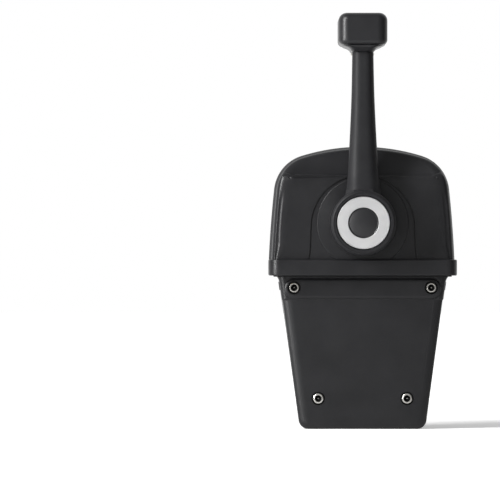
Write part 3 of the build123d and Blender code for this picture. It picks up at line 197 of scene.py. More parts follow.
# %% Make the finishes
finishes = {
    # glass-filled nylon from a spark-eroded mould
    "black_moulding": grained(
        "glass-filled nylon, spark-eroded mould", "#131315", "#1c1c1e",
        rough=(0.33, 0.39), grain_mm=0.55, depth_mm=0.03, specular=0.34),
    # die-cast aluminium under black powder coat
    "black_lever": grained(
        "die-cast aluminium, black powder coat", "#161618", "#1f1f21",
        rough=(0.50, 0.58), grain_mm=0.7, depth_mm=0.025, specular=0.22),
    # soft-touch over-moulding on the grip
    "grip_skin": grained(
        "soft-touch over-moulding", "#161618", "#1f1f21",
        rough=(0.33, 0.39), grain_mm=0.5, depth_mm=0.025, specular=0.38),
    # injection-moulded acetal cap, shinier than the housing
    "button_plastic": grained(
        "moulded acetal button", "#18181a", "#212123",
        rough=(0.34, 0.40), grain_mm=0.35, depth_mm=0.012, specular=0.42),
    # moulded nylon, dull so that the fingers hold
    "trigger_plastic": grained(
        "ribbed nylon trigger", "#101011", "#171718",
        rough=(0.5, 0.6), grain_mm=0.4, depth_mm=0.03, specular=0.3),
    # compression-moulded rubber
    "seal_rubber": grained(
        "moulded nitrile rubber", "#0e0e0f", "#161617",
        rough=(0.6, 0.75), grain_mm=0.6, depth_mm=0.02, specular=0.25),
    # gears cut from uncoloured bar
    "gear_acetal": grained(
        "natural acetal, machined", "#d8d4c6", "#e4e1d6",
        rough=(0.38, 0.48), grain_mm=0.3, depth_mm=0.01, patch_mm=14.0),
    # the weave of the glass shows faintly through the green mask
    "board_laminate": grained(
        "glass-epoxy board, green mask", "#0d4a2a", "#135a34",
        rough=(0.28, 0.4), grain_mm=0.9, depth_mm=0.02, patch_mm=6.0),
    # bar stock, turned
    "stainless": metal("stainless steel, turned", "#b9b6b0", "#d2d0cb",
                       rough=(0.2, 0.32), grain_mm=0.25, depth_mm=0.004),
    # cold-drawn wire
    "spring_steel": metal("spring steel wire", "#8d8d90", "#a7a7aa",
                          rough=(0.25, 0.36), grain_mm=0.2, depth_mm=0.004),
    # shaft and disc, with the marks of the tool across their length
    "machined_steel": metal("machined steel", "#8b8c8f", "#a3a4a6",
                            rough=(0.26, 0.4), grain_mm=0.2, depth_mm=0.006, stretch=(1.0, 8.0, 1.0)),
    # pressed sheet, zinc plated
    "zinc_plate": metal("zinc-plated sheet steel", "#9a9c9b", "#b7b9b6",
                        rough=(0.3, 0.46), grain_mm=1.6, depth_mm=0.01),
    # sintered bushes, soaked with oil
    "bearing_bronze": metal("sintered bronze", "#8a6433", "#a67c45",
                            rough=(0.4, 0.55), grain_mm=0.3, depth_mm=0.03),
    # inserts turned from bar
    "insert_brass": metal("turned brass", "#b08c48", "#c9a661",
                          rough=(0.26, 0.38), grain_mm=0.3, depth_mm=0.01),
    # pins plated after stamping
    "contact_plating": metal("gold-plated contact", "#c39a3e", "#dcb75c",
                             rough=(0.18, 0.28), grain_mm=0.3, depth_mm=0.002),
    # sintered magnet under nickel
    "magnet": metal("nickel-coated magnet", "#8f8e8b", "#a5a4a1",
                    rough=(0.22, 0.34), grain_mm=0.5, depth_mm=0.004),
}


def turned_ring():
    """Satin anodised aluminium: fine rings left by the lathe round the lever's axis."""
    lathe_pitch_mm, patch_mm = 0.16, 16.0
    material, tree, shader, place = new_material("aluminium, turned and satin anodised")
    to_axis = (0.0, 0.0, -AXIS_HEIGHT * MM)
    centred = add_node(tree, "ShaderNodeMapping", {"Vector": place, "Location": to_axis})
    split = add_node(tree, "ShaderNodeSeparateXYZ", {"Vector": centred.outputs["Vector"]})
    flat = add_node(tree, "ShaderNodeCombineXYZ", {"X": split.outputs["X"], "Y": split.outputs["Z"]})
    radius = add_node(tree, "ShaderNodeVectorMath", {0: flat.outputs["Vector"]}, operation="LENGTH")
    rings = add_node(tree, "ShaderNodeTexNoise", {
        "W": radius.outputs["Value"], "Scale": 1 / (lathe_pitch_mm * MM), "Detail": 2.0},
        noise_dimensions="1D")
    tone = ramp(tree, noise(tree, place, patch_mm), "#ececed", "#f4f4f4")
    tree.links.new(tone, shader.inputs["Base Color"])
    tree.links.new(spread(tree, rings.outputs["Fac"], 0.3, 0.42), shader.inputs["Roughness"])
    tree.links.new(bump(tree, rings.outputs["Fac"], 0.003), shader.inputs["Normal"])
    shader.inputs["Metallic"].default_value = 1.0
    return material


finishes["satin_ring"] = turned_ring()
print(len(finishes), "finishes made")

# %% [markdown]
# ## From a mesh to a piece
# Every piece takes the same way into the scene: it gets the finish of its slot, it rides on a body, and it
# stands for construction pieces, which are only hidden.

# %% Helpers for pieces
SMOOTH_DEG = 35.0      # new surfaces are smooth where their faces meet at less than this
WELD_MM = 0.001        # points of new surfaces closer than this are one


def linked(name, data):
    """An object in the scene from a mesh, a light or a camera."""
    item = bpy.data.objects.new(name, data)
    bpy.context.scene.collection.objects.link(item)
    return item


def finish(piece, slot):
    """Gives a piece the finish of a record slot."""
    piece.data.materials.clear()
    piece.data.materials.append(finishes[slot])


def placed(name, mesh, slot, body, *stands_for):
    """A finished piece from a mesh. It rides on a body and stands for the named construction pieces."""
    piece = linked(name, mesh)
    finish(piece, slot)
    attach(piece, body)
    if stands_for:
        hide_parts(*stands_for)
    return piece


def soften(shape, degrees):
    """Smooths the faces of a bmesh and keeps its edges sharp where they turn by degrees or more."""
    for edge in shape.edges:
        edge.smooth = len(edge.link_faces) == 2 and edge.calc_face_angle(pi) < radians(degrees)
    for face in shape.faces:
        face.smooth = True


print("helpers for pieces ready")

# %% [markdown]
# ## From construction mesh to smooth piece
# The construction meshes are loose triangles. A copy is merged, its flat areas are joined to single faces,
# its real edges are marked, and a bevel as small as a moulding's edge radius catches the light.

# %% Helpers for the construction meshes
COPY_WELD_MM = 0.002      # points of a construction mesh closer than this are one
FLAT_DEG = 0.2            # its faces that meet at less than this are one flat face
SAME_DEPTH_MM = 0.05      # a point this near to a depth lies on it


def level_cut(shape, height, **options):
    """Cuts a whole bmesh with the level plane at a height in mm."""
    bmesh.ops.bisect_plane(
        shape, geom=shape.verts[:] + shape.edges[:] + shape.faces[:], dist=1e-7,
        plane_co=(0, 0, height * MM), plane_no=(0, 0, 1), **options)


def finished_copy(name, edge_mm=0.0, smooth_deg=30.0, cuts=(), reshape=None, below=None):
    """The construction piece with its triangles merged, smooth up to smooth_deg, its edges rounded by
    edge_mm. Loops are cut at the heights in cuts, reshape turns an array of its points into their new
    places, and below keeps only what lies under that height."""
    source = nodes[name]
    shape = bmesh.new()
    shape.from_mesh(source.data)
    bmesh.ops.remove_doubles(shape, verts=shape.verts, dist=COPY_WELD_MM * MM)
    bmesh.ops.dissolve_limit(shape, angle_limit=radians(FLAT_DEG), verts=shape.verts, edges=shape.edges)
    for height in cuts:
        level_cut(shape, height)
    if below:
        level_cut(shape, below, clear_outer=True)
        rim = [edge for edge in shape.edges if edge.is_boundary]
        bmesh.ops.triangle_fill(shape, use_beauty=True, use_dissolve=True, edges=rim)
    if reshape:
        places = reshape(np.array([vertex.co for vertex in shape.verts]) / MM) * MM
        for vertex, place in zip(shape.verts, places):
            vertex.co = place
    soften(shape, smooth_deg)
    mesh = bpy.data.meshes.new(name + "_finish")
    shape.to_mesh(mesh)
    shape.free()
    if "custom_normal" in mesh.attributes:
        mesh.attributes.remove(mesh.attributes["custom_normal"])
    piece = placed(name + "_finish", mesh, slot_of[name], source["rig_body"], name)
    if edge_mm:
        bevel = piece.modifiers.new("edge radius", "BEVEL")
        bevel.width = edge_mm * MM
        bevel.segments = 2
        bevel.limit_method = "ANGLE"
        bevel.angle_limit = radians(smooth_deg)
        bevel.harden_normals = True
        bevel.use_clamp_overlap = True
    return piece


print("helpers for the construction meshes ready")

# %% [markdown]
# ## Wider rims
# The mouldings' rims are not quarter circles: they come forward slowly and then fall away, and that is why
# the light lies on them as a wide, soft band. A bevel can't do that, since it is round. So the points near
# the outline are moved, by how far each one is from it.

# %% Helpers for the rims


def convex_outline(points):
    """Corners of the convex hull of points in X and Z, anticlockwise, by the monotone chain."""
    order = sorted({(round(float(x), 3), round(float(z), 3)) for x, z in points})

    def half(run):
        chain = []
        for x, z in run:
            while len(chain) > 1:
                (ax, az), (bx, bz) = chain[-2], chain[-1]
                if (bx - ax) * (z - az) - (bz - az) * (x - ax) > 1e-9:
                    break
                chain.pop()
            chain.append((x, z))
        return chain[:-1]

    return np.array(half(order) + half(order[::-1]))


def outline_distance(points, ring):
    """Distance in mm of each point from the convex outline of ring, seen from the front, and its inward
    way. Long level edges at the top or bottom are left out, so only the drawn silhouette counts."""
    level_slope, long_edge = 0.001, 40.0
    start = convex_outline(ring)
    along = np.roll(start, -1, axis=0) - start
    length = np.linalg.norm(along, axis=1)
    inward = np.stack([-along[:, 1], along[:, 0]], axis=1) / length[:, None]
    keep = ~((np.abs(along[:, 1]) < level_slope * length) & (length > long_edge))
    gap = ((points[:, None, [0, 2]] - start[None, keep]) * inward[None, keep]).sum(axis=2)
    nearest = gap.argmin(axis=1)
    return gap[np.arange(len(points)), nearest], inward[keep][nearest]


def smooth_step(value, start, end):
    """0 before start, 1 after end, with an even S between."""
    t = np.clip((value - start) / (end - start), 0.0, 1.0)
    return t * t * (3 - 2 * t)


def widen_rim(points, ring, depth_round, width_round, reach, weight):
    """Turns a quarter-round rim into a flat ellipse: what lies within depth_round of the outline is spread
    to width_round, and what lies from there to reach is pressed together, so the outline itself stays."""
    gap, inward = outline_distance(points, ring)
    wide = np.interp(gap, [0, depth_round, reach], [0, width_round, reach])
    sideways = np.abs(inward[:, 0]) ** 0.7      # the rim widens at the sides more than at the top
    push = np.where((gap > 0) & (gap < reach), wide - gap, 0.0) * weight * sideways
    moved = points.copy()
    moved[:, [0, 2]] += push[:, None] * inward
    return moved


print("helpers for the rims ready")

# %% [markdown]
# ## Reshape the two housings
# The photograph shows soft, wide highlights down the sides of both housings, a groove that frames the hub,
# and deep recesses round the screws. The construction model has plain rounds there, so the copies' points
# are moved. Their outlines stay where they are.

# %% Merge, smooth and edge every piece
UPPER_SCREWS, LOWER_SCREWS = (60.1, -10.6), (38.9, -107.7)      # X to either side, and Z, in mm
screw_places = [(side * x, z) for side in (-1, 1) for x, z in (UPPER_SCREWS, LOWER_SCREWS)]
recess_floor = -29.7      # the construction model's floor of the screws' recesses, Y in mm
head_base = -26.9         # where the finished recesses end and the heads rest
groove_floor = -37.5      # the construction model's floor of the arch groove, Y in mm
groove_deep = -36.4       # where the finished groove ends, so that its shadow is seen
# Radius in mm that is left on the edges of each piece that is seen. The others keep sharp edges.
edge_radius = {
    "flange_plate": 0.4, "flange_gasket": 0.2, "seam_band": 0.25, "rear_cover": 0.25,
    "escutcheon_disc": 0.2, "lever_arm": 0.4, "grip_shell": 0.3, "release_trigger": 0.25,
    "lower_housing": 0.25, "lower_rear_cover": 0.25, "connector_shell": 0.3,
}


def soft_housing(points):
    """Upper housing: the rim that catches the light is nearly three times as wide as it is deep."""
    depth = points[:, 1]
    shell = (depth < 8) & (depth > -30)                 # the straight walls, which give the outline
    weight = 1 - smooth_step(depth, -16.0, -10.0)       # nothing moves behind the rim
    moved = widen_rim(
        points, points[shell][:, [0, 2]], depth_round=6.5, width_round=17.0, reach=24.0, weight=weight)
    moved[np.abs(depth - groove_floor) < SAME_DEPTH_MM, 1] = groove_deep
    return moved


def soft_lower(points):
    """Lower housing: a wide soft edge down each side, and a small hollow flare up to the flange."""
    half_top, half_loss = 73.8, 18.8        # half width at the console, and how much less it is at the foot
    flare_width, flare_height = 2.2, 5.5
    recess_reach = 6.1                      # a little more than the recesses' radius
    wall_depth = 1.0                        # a point this near to the side's face belongs to it
    depth, height = points[:, 1], points[:, 2]
    shell = depth > -27                                                     # the straight walls
    weight = (1 - smooth_step(depth, -26.5, -22.0)) * (depth > -32.15)      # nothing moves behind the rim
    weight = weight * (1 - smooth_step(height, -22.0, -20.5))               # nor beside the pad
    moved = widen_rim(
        points, points[shell][:, [0, 2]], depth_round=5.0, width_round=9.5, reach=13.0, weight=weight)
    half = half_top - half_loss * -height / FOOT_DEPTH
    flare = flare_width * np.clip(1 + height / flare_height, 0.0, 1.0) ** 2
    outside = np.abs(points[:, 0]) > half - wall_depth
    moved[:, 0] += np.where(outside, np.sign(points[:, 0]) * flare, 0.0)
    for x, z in screw_places:
        near = np.hypot(points[:, 0] - x, height - z) < recess_reach
        moved[near & (np.abs(depth - recess_floor) < SAME_DEPTH_MM), 1] = head_base
    return moved


# The cuts give the long faces points that the reshaping can move. The hub is kept, and the stalk above it
# is cast again further down.
shaped = {
    "front_housing": {"reshape": soft_housing, "cuts": (30.0, 46.0, 62.0, 79.0, 93.0), "smooth_deg": 50.0},
    "lower_housing": {"reshape": soft_lower, "cuts": (-0.7, -1.5, -2.4, -3.4, -4.5, -5.6, -20.5, -22.0)},
    "lever_arm": {"below": 75.0},
}
remade = ("hub_ring", "neutral_button", "front_screws", "grip_base")
pieces = [
    finished_copy(name, edge_radius.get(name, 0.0), **shaped.get(name, {}))
    for name in nodes if name not in remade]
print(len(pieces), "pieces merged and edged")

# %% [markdown]
# ## Surfaces from rings of points
# Turned and moulded pieces whose roundness shows are made again as grids of points. They could be modelled
# with modifiers, but numpy keeps their real sizes in view. Each is an array of rings, and every ring has the
# same number of points, so one function joins any of them into a skin.

# %% Helpers that join rings


def closed_mesh(name, points, faces):
    """A mesh through points in mm. Points at the same place are merged, its faces are turned outwards, and
    it is smooth up to SMOOTH_DEG."""
    mesh = bpy.data.meshes.new(name)
    mesh.from_pydata((np.asarray(points) * MM).tolist(), [], faces)
    shape = bmesh.new()
    shape.from_mesh(mesh)
    bmesh.ops.remove_doubles(shape, verts=shape.verts, dist=WELD_MM * MM)
    bmesh.ops.recalc_face_normals(shape, faces=shape.faces)
    shape.normal_update()
    soften(shape, SMOOTH_DEG)
    shape.to_mesh(mesh)
    shape.free()
    return mesh


def skin(name, rings, capped=True):
    """A surface through rings of points in mm, shape (rings, points, 3): point j of a ring is joined to
    point j of the next, all the way round. When it is capped, the first and the last ring are closed with
    a fan to their middles."""
    rings = np.asarray(rings, dtype=float)
    rows, count, _ = rings.shape
    points = rings.reshape(-1, 3)
    row, column = np.meshgrid(np.arange(rows - 1), np.arange(count), indexing="ij")
    a = (row * count + column).ravel()
    b = (row * count + (column + 1) % count).ravel()
    faces = np.stack([a, b, b + count, a + count], axis=1).tolist()
    if capped:
        points = np.concatenate([points, rings[[0, -1]].mean(axis=1)])
        here = np.arange(count)
        after = (here + 1) % count
        last = (rows - 1) * count
        first_middle, last_middle = np.full(count, rows * count), np.full(count, rows * count + 1)
        faces += np.stack([after, here, first_middle], axis=1).tolist()
        faces += np.stack([last + here, last + after, last_middle], axis=1).tolist()
    return closed_mesh(name, points, faces)


def joined(name, meshes):
    """Several meshes as one, as identical screws share one node."""
    shape = bmesh.new()
    for mesh in meshes:
        shape.from_mesh(mesh)
    whole = bpy.data.meshes.new(name)
    shape.to_mesh(whole)
    shape.free()
    return whole


print("helpers that join rings ready")

# %% [markdown]
# ## Holes
# The pad, the grip base and the stalk have holes for pieces that sit or slide in them. A boolean cuts each
# hole with a box or a rod. It is applied at once, so that the edges it leaves can be marked as sharp.

# %% Helpers that cut holes


def cut(piece, cutters):
    """Takes the cutters away from a piece, keeps the outcome as its mesh, and removes the cutters."""
    for cutter in cutters:
        step = piece.modifiers.new("cut", "BOOLEAN")
        step.operation = "DIFFERENCE"
        step.solver = "EXACT"
        step.object = cutter
    bpy.context.view_layer.update()
    done = piece.evaluated_get(bpy.context.evaluated_depsgraph_get())
    mesh = bpy.data.meshes.new_from_object(done)
    piece.modifiers.clear()
    piece.data = mesh
    for cutter in cutters:
        bpy.data.objects.remove(cutter)
    shape = bmesh.new()
    shape.from_mesh(mesh)
    soften(shape, SMOOTH_DEG)
    shape.to_mesh(mesh)
    shape.free()


def cutter_box(low, high):
    """A plain box between two corners in mm, for cutting."""
    pick = np.array([[i, j, k] for i in (0, 1) for j in (0, 1) for k in (0, 1)])
    corners = np.where(pick == 1, np.array(high), np.array(low))
    return linked("cutter", closed_mesh("cutter", corners, [
        (0, 1, 3, 2), (4, 6, 7, 5), (0, 4, 5, 1), (2, 3, 7, 6), (0, 2, 6, 4), (1, 5, 7, 3)]))


def cutter_rod(start, end, radius, count=64):
    """A rod between two points in mm that have the same X, for cutting."""
    start, end = np.array(start, dtype=float), np.array(end, dtype=float)
    way = (end - start) / np.linalg.norm(end - start)
    side = np.array([1.0, 0.0, 0.0])
    turn = 2 * pi * np.arange(count)[:, None] / count
    ring = radius * (np.cos(turn) * side + np.sin(turn) * np.cross(way, side))
    faces = [(i, (i + 1) % count, count + (i + 1) % count, count + i) for i in range(count)]
    faces += [tuple(range(count))[::-1], tuple(range(count, 2 * count))]
    return linked("cutter", closed_mesh("cutter", np.concatenate([ring + start, ring + end]), faces))


print("helpers that cut holes ready")

# %% [markdown]
# ## Profiles and outlines
# A turned piece is known by its profile, and a moulded one by its outline. These functions turn either into
# rings of points.

# %% Helpers for profiles and outlines


def turned(profile, axis_x, axis_z, count=128, hexagon=()):
    """Rings turned round an axis along Y: a ring's points lie at its radius from the axis, at even angles.
    profile lists (depth, radius) in mm. Rings whose number is in hexagon follow a hexagon whose corners
    lie on their radius."""
    turn = 2 * pi * np.arange(count) / count
    rings = []
    for number, (depth, radius) in enumerate(profile):
        reach = np.full(count, float(radius))
        if number in hexagon:
            reach = radius * np.cos(pi / 6) / np.cos((turn % (pi / 3)) - pi / 6)
        rings.append(np.stack([axis_x + reach * np.cos(turn), np.full(count, float(depth)),
                               axis_z + reach * np.sin(turn)], axis=1))
    return rings


def arc(centre, radius, start, end, steps=8):
    """Points (depth, radius) of a profile on a circular arc, with angles in degrees from the depth axis."""
    angle = np.radians(np.linspace(start, end, steps + 1))
    return [(centre[0] + radius * np.cos(t), centre[1] + radius * np.sin(t)) for t in angle]


def rounded_outline(half_x, half_z, corner, steps=12):
    """Points round a rectangle with rounded corners, in mm: a quarter circle at each corner in turn."""
    turn = np.radians(np.linspace(0, 90, steps + 1))
    arcs = []
    for quarter, (sx, sz) in enumerate(((1, 1), (-1, 1), (-1, -1), (1, -1))):
        angle = turn + quarter * pi / 2
        arcs.append(np.stack([sx * (half_x - corner) + corner * np.cos(angle),
                              sz * (half_z - corner) + corner * np.sin(angle)], axis=1))
    return np.concatenate(arcs)


print("helpers for profiles and outlines ready")

# %% [markdown]
# ## Ring and button
# The bright ring is turned from aluminium: flat face, small bevels inside and out. The button in its middle
# is moulded with a shallow dome, so it shades from its upper left to its lower right. Both are round, so a
# profile turned round the lever's axis gives them without facets.

# %% Turn the ring and the button
ring_profile = [  # depth, radius
    (-71.4, 13.3), (-73.7, 13.3), (-74.0, 13.6), (-74.0, 22.5), (-73.55, 23.0), (-71.4, 23.0), (-71.4, 13.3)]
ring_mesh = skin("hub_ring_turned", turned(ring_profile, 0.0, AXIS_HEIGHT, 160), capped=False)
placed("hub_ring_turned", ring_mesh, "satin_ring", "lever", "hub_ring")

button_radius, dome_radius, dome_height, axis_gap = 13.0, 12.4, 2.2, 0.4
dome_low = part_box("neutral_button")[0][1] / MM
dome_base = dome_low + dome_height
sphere = (button_radius ** 2 + dome_height ** 2) / (2 * dome_height)
radii = np.linspace(axis_gap, dome_radius, 22)
dome = [(dome_low + sphere - np.sqrt(sphere ** 2 - r ** 2), r) for r in radii]
button_profile = dome + [  # the rounded edge, the collar in the hub, and the hollow that takes the spring
    (dome_base + 0.15, 12.85), (dome_base + 0.6, button_radius), (-71.3, button_radius), (-71.3, 14.7),
    (-70.1, 14.7), (-70.1, 10.0), (-65.5, 10.0), (-65.5, 8.5), (-70.0, 8.5), (-70.0, axis_gap)]
button_mesh = skin("neutral_button_moulded", turned(button_profile, 0.0, AXIS_HEIGHT))
placed("neutral_button_moulded", button_mesh, "button_plastic", "button", "neutral_button")
print("ring and button turned")

# %% [markdown]
# ## Front screws
# Four stainless button heads sit in recesses. Their sockets are deep, and their walls carry a painted shade,
# so they read as a dark ring, which is how such a screw is recognised from far off. The sockets are part of
# the turned profile, whose rings follow a hexagon there, so no cut is needed.

# %% Turn the four screws
head_front = -32.3                                                  # Y of the heads' faces, in mm
shank_ends = {UPPER_SCREWS[1]: 25.3, LOWER_SCREWS[1]: -22.7}        # Y of the shanks' ends, by height
head_radius, head_round, shank_radius = 4.7, 1.2, 2.5
socket_mouth, socket_radius, socket_foot, socket_depth = 3.05, 2.75, 1.7, 2.6
wall_inner, wall_outer, wall_end = 1.35, 2.95, 3.0                  # where the socket walls with the painted shade lie


def screw_rings(x, z):
    """A button-head screw as a profile turned round its own axis: the shank, the underside of the head, a
    quarter circle up to its face, and a hexagonal socket that narrows as it goes in."""
    profile = [
        (shank_ends[z], shank_radius - 0.2), (shank_ends[z] - 0.3, shank_radius), (head_base, shank_radius),
        (head_base, head_radius - 0.2), (head_base - 0.2, head_radius),
        (head_front + head_round, head_radius)]
    profile += arc((head_front + head_round, head_radius - head_round), head_round, 90, 180)[1:]
    profile += [
        (head_front, socket_mouth), (head_front + 0.2, socket_radius),
        (head_front + socket_depth, socket_foot), (head_front + socket_depth + 0.2, 1.3),
        (head_front + 2.0, 0.4)]
    last = len(profile) - 1
    return turned(profile, x, z, 96, hexagon=(last - 3, last - 2))


screw_mesh = joined("front_screws_turned", [
    skin(f"screw_{number}", screw_rings(x, z)) for number, (x, z) in enumerate(screw_places)])
placed("front_screws_turned", screw_mesh, "stainless", "root", "front_screws")
# painted shade: a near-black finish on the sockets' walls stands in for the shade deep inside them
screw_mesh.materials.append(grained(
    "painted shade on the socket walls", "#060606", "#0c0c0c",
    rough=(0.6, 0.8), grain_mm=0.3, depth_mm=0.01, specular=0.1))
centres = np.array([face.center for face in screw_mesh.polygons]) / MM
from_axis = np.min([np.hypot(centres[:, 0] - x, centres[:, 2] - z) for x, z in screw_places], axis=0)
# the faces on the socket walls, which get the painted shade
painted_shade_faces = (from_axis < wall_outer) & (from_axis > wall_inner) & (centres[:, 1] < head_front + wall_end)
screw_mesh.polygons.foreach_set("material_index", painted_shade_faces.astype(np.int32))
print(len(screw_places), "screws turned")

# %% [markdown]
# ## Pad across the front
# The upper screws sit in the ends of a long pad that stands out of the lower housing like a pillow. The
# construction model has it as a bar with a plain edge. A bevel would give that a round, but the real edge
# rises gently, so the pad is laid over the bar as a skin.

# %% Mould the pad
pad_centre, pad_half_x, pad_half_z = -11.4, 68.8, 9.1
pad_root, pad_edge, pad_rise, pad_round = -31.0, -32.3, 1.7, 3.2      # Y, Y, mm forward, and mm inward
recess_radius, recess_from, recess_to = 5.9, -36.0, -29.0             # of the holes round the screws


def pad_rings():
    """Rounded rectangles with half-round ends. They go straight forward from the root to the edge. Then, as
    an angle t runs to 90 degrees, they shrink by 1 - cos t of the round and come forward by sin t of the
    rise, which makes the edge a quarter of an ellipse."""
    angles = np.radians(np.linspace(10, 90, 9))
    steps = [(0.0, pad_root), (0.0, pad_edge)]
    steps += [(pad_round * (1 - np.cos(t)), pad_edge - pad_rise * np.sin(t)) for t in angles]
    rings = []
    for inset, front in steps:
        flat = rounded_outline(pad_half_x - inset, pad_half_z - inset, pad_half_z - inset - 0.02)
        rings.append(np.stack([flat[:, 0], np.full(len(flat), front), flat[:, 1] + pad_centre], axis=1))
    return rings


pad_piece = placed("front_pad", skin("front_pad", pad_rings()), "black_moulding", "root")
cut(pad_piece, [
    cutter_rod((side * UPPER_SCREWS[0], recess_from, UPPER_SCREWS[1]),
               (side * UPPER_SCREWS[0], recess_to, UPPER_SCREWS[1]), recess_radius) for side in (-1, 1)])
print("pad moulded")

# %% [markdown]
# ## Grip base
# The half of the grip under the parting line narrows quickly towards the stalk, and it has a shallow belly
# behind the stalk. It is open round the trigger, which slides up into the grip. It changes its outline at
# every height, so it is a stack of level outlines, and their sizes are read off both views.

# %% Mould the grip base
base_levels = [  # height, front, back, half width, corner radius
    (201.4, -53.6, 16.2, 17.4, 8.4), (201.0, -54.0, 16.5, 17.2, 8.4), (200.4, -53.8, 16.3, 15.8, 8.0),
    (199.8, -53.4, 15.8, 14.2, 7.6), (199.0, -52.7, 15.0, 12.4, 7.2), (198.0, -51.6, 14.0, 11.2, 6.8),
    (196.9, -50.4, 12.8, 10.4, 6.4), (196.2, -49.6, 12.0, 10.0, 6.2), (195.8, -48.8, 11.2, 9.5, 6.0)]
belly_depth, belly_start, belly_length, belly_half = 3.5, -33.9, 20.3, 9.5
foot_shares = np.linspace(0.94, 0.06, 16)


def base_rings():
    """Level rounded rectangles from the parting line down to the foot. The foot closes in rings that shrink
    to its middle. They hang down by a sine along the belly and by 1 minus the square of the distance across
    it, both to a power under 1, so that it is full in the middle and soft at its rim."""
    rings = []
    for height, front, back, half, corner in base_levels:
        flat = rounded_outline(half, (back - front) / 2, corner)
        rings.append(np.stack([flat[:, 0], flat[:, 1] + (front + back) / 2,
                               np.full(len(flat), height)], axis=1))
    foot = rings[-1]
    middle = foot.mean(axis=0)
    for share in foot_shares:
        ring = middle + (foot - middle) * [share, share, 1]
        along = np.clip((ring[:, 1] - belly_start) / belly_length, 0, 1)
        across = np.clip(1 - (ring[:, 0] / belly_half) ** 2, 0, 1)
        ring[:, 2] -= belly_depth * np.sin(pi * along) ** 0.7 * across ** 0.6
        rings.append(ring)
    return rings


base_piece = placed(
    "grip_base_moulded", skin("grip_base_moulded", base_rings()), "grip_skin", "lever", "grip_base")
trigger_slot = cutter_box((-8.4, -13.6, 189.0), (8.4, 5.0, 204.0))
arm_channel = cutter_box((-4.0, -45.5, 200.9), (4.0, -13.0, 204.0))
cut(base_piece, [trigger_slot, arm_channel])
print("grip base moulded")

# %% [markdown]
# ## Stalk
# The stalk is a casting with an eight-sided section whose corners are well rounded. It stands on the hub
# with a flare towards the front, leans back at about nine degrees, and tapers up to the grip. The
# construction model has a loft there, whose few triangles would shade in blotches, so it is made again from
# many level rings.

# %% Cast the stalk
stalk_sections = np.array([  # height, front, back, half width
    (58.0, -74.2, -43.2, 17.6), (64.0, -73.4, -43.2, 16.4), (75.0, -70.0, -43.2, 14.9),
    (86.0, -64.8, -42.9, 13.7), (98.0, -61.6, -42.0, 12.9), (118.0, -58.6, -39.9, 11.8),
    (153.5, -53.2, -35.6, 10.2), (200.2, -45.9, -29.6, 9.2)])
facet = np.array([0.7065, 0.6114])      # the way the slanting sides face, against a half width of 1
roundness = 11.0                        # the higher, the sharper the eight corners
stalk_levels, stalk_count = 90, 96


def eased(at, known, values):
    """A smooth curve through known points: cubic pieces whose slopes are the averages of their
    neighbours."""
    slope = np.gradient(values, known)
    spot = np.clip(np.searchsorted(known, at, side="right") - 1, 0, len(known) - 2)
    span = known[spot + 1] - known[spot]
    t = (at - known[spot]) / span
    return ((2 * t ** 3 - 3 * t ** 2 + 1) * values[spot] + (t ** 3 - 2 * t ** 2 + t) * span * slope[spot]
            + (3 * t ** 2 - 2 * t ** 3) * values[spot + 1] + (t ** 3 - t ** 2) * span * slope[spot + 1])


def stalk_rings():
    """Level rings: at each angle the section reaches 1 / (|x|^n + |y|^n + |slant|^n)^(1/n), where n is the
    roundness, which is an octagon with eased corners. It is scaled to the half width and the depth."""
    known = stalk_sections[:, 0]
    heights = np.linspace(known[0], known[-1], stalk_levels)
    front, back, half = (eased(heights, known, stalk_sections[:, k]) for k in (1, 2, 3))
    turn = 2 * pi * np.arange(stalk_count) / stalk_count
    side_x, side_y = np.cos(turn), np.sin(turn)
    slant = facet[0] * np.abs(side_x) + facet[1] * np.abs(side_y)
    total = np.abs(side_x) ** roundness + np.abs(side_y) ** roundness + slant ** roundness
    reach = total ** (-1 / roundness)
    return np.stack([
        half[:, None] * (reach * side_x)[None],
        (front + back)[:, None] / 2 + (back - front)[:, None] / 2 * (reach * side_y)[None],
        np.repeat(heights[:, None], stalk_count, axis=1)], axis=2)


stalk_piece = placed("stalk_cast", skin("stalk_cast", stalk_rings()), "black_lever", "lever")
lean = np.array([0.0, 0.15471, 0.98796])         # the way the release rod slides
rod_point = np.array([0.0, -39.0, 192.0])        # a point on its axis
bores = [(-114.4, 12.0, 2.85), (-22.3, 13.0, 5.2)]      # from, to, radius: for the rod, and for its spring
hub_radius, hub_from, hub_to = 26.5, -90.0, 0.0         # the hub is a piece of its own
cut(stalk_piece, [
    cutter_rod(rod_point + low * lean, rod_point + high * lean, radius) for low, high, radius in bores]
    + [cutter_rod((0, hub_from, AXIS_HEIGHT), (0, hub_to, AXIS_HEIGHT), hub_radius)])
print("stalk cast")

# %% [markdown]
# ## Floor
# The object stands on white paper in front of a white surround. The paper takes the object's shadow. It also
# glows a little where the camera sees it, and more so further off, so that it runs into the surround
# without a line and without more light on the object.

# %% Lay the floor
side_reach, near_reach, far_reach = 6.0, -5.0, 9.0      # the floor's edges, in metres
floor_height = -FOOT_DEPTH * MM
floor_mesh = bpy.data.meshes.new("studio_floor")
floor_mesh.from_pydata(
    [(-side_reach, near_reach, floor_height), (side_reach, near_reach, floor_height),
     (side_reach, far_reach, floor_height), (-side_reach, far_reach, floor_height)],
    [], [(0, 1, 2, 3)])
floor = linked("studio_floor", floor_mesh)


def combined(tree, first, second, operation):
    """The product, or the larger, of two numbers."""
    return add_node(tree, "ShaderNodeMath", {0: first, 1: second}, operation=operation).outputs["Value"]


def sees_background(tree, behind):
    """1 for camera and transmission rays, and for glossy rays where behind is 1. 0 for the rest."""
    path = add_node(tree, "ShaderNodeLightPath").outputs
    glossy = combined(tree, path["Is Glossy Ray"], behind, "MULTIPLY")
    direct = combined(tree, path["Is Camera Ray"], path["Is Transmission Ray"], "MAXIMUM")
    return combined(tree, direct, glossy, "MAXIMUM")


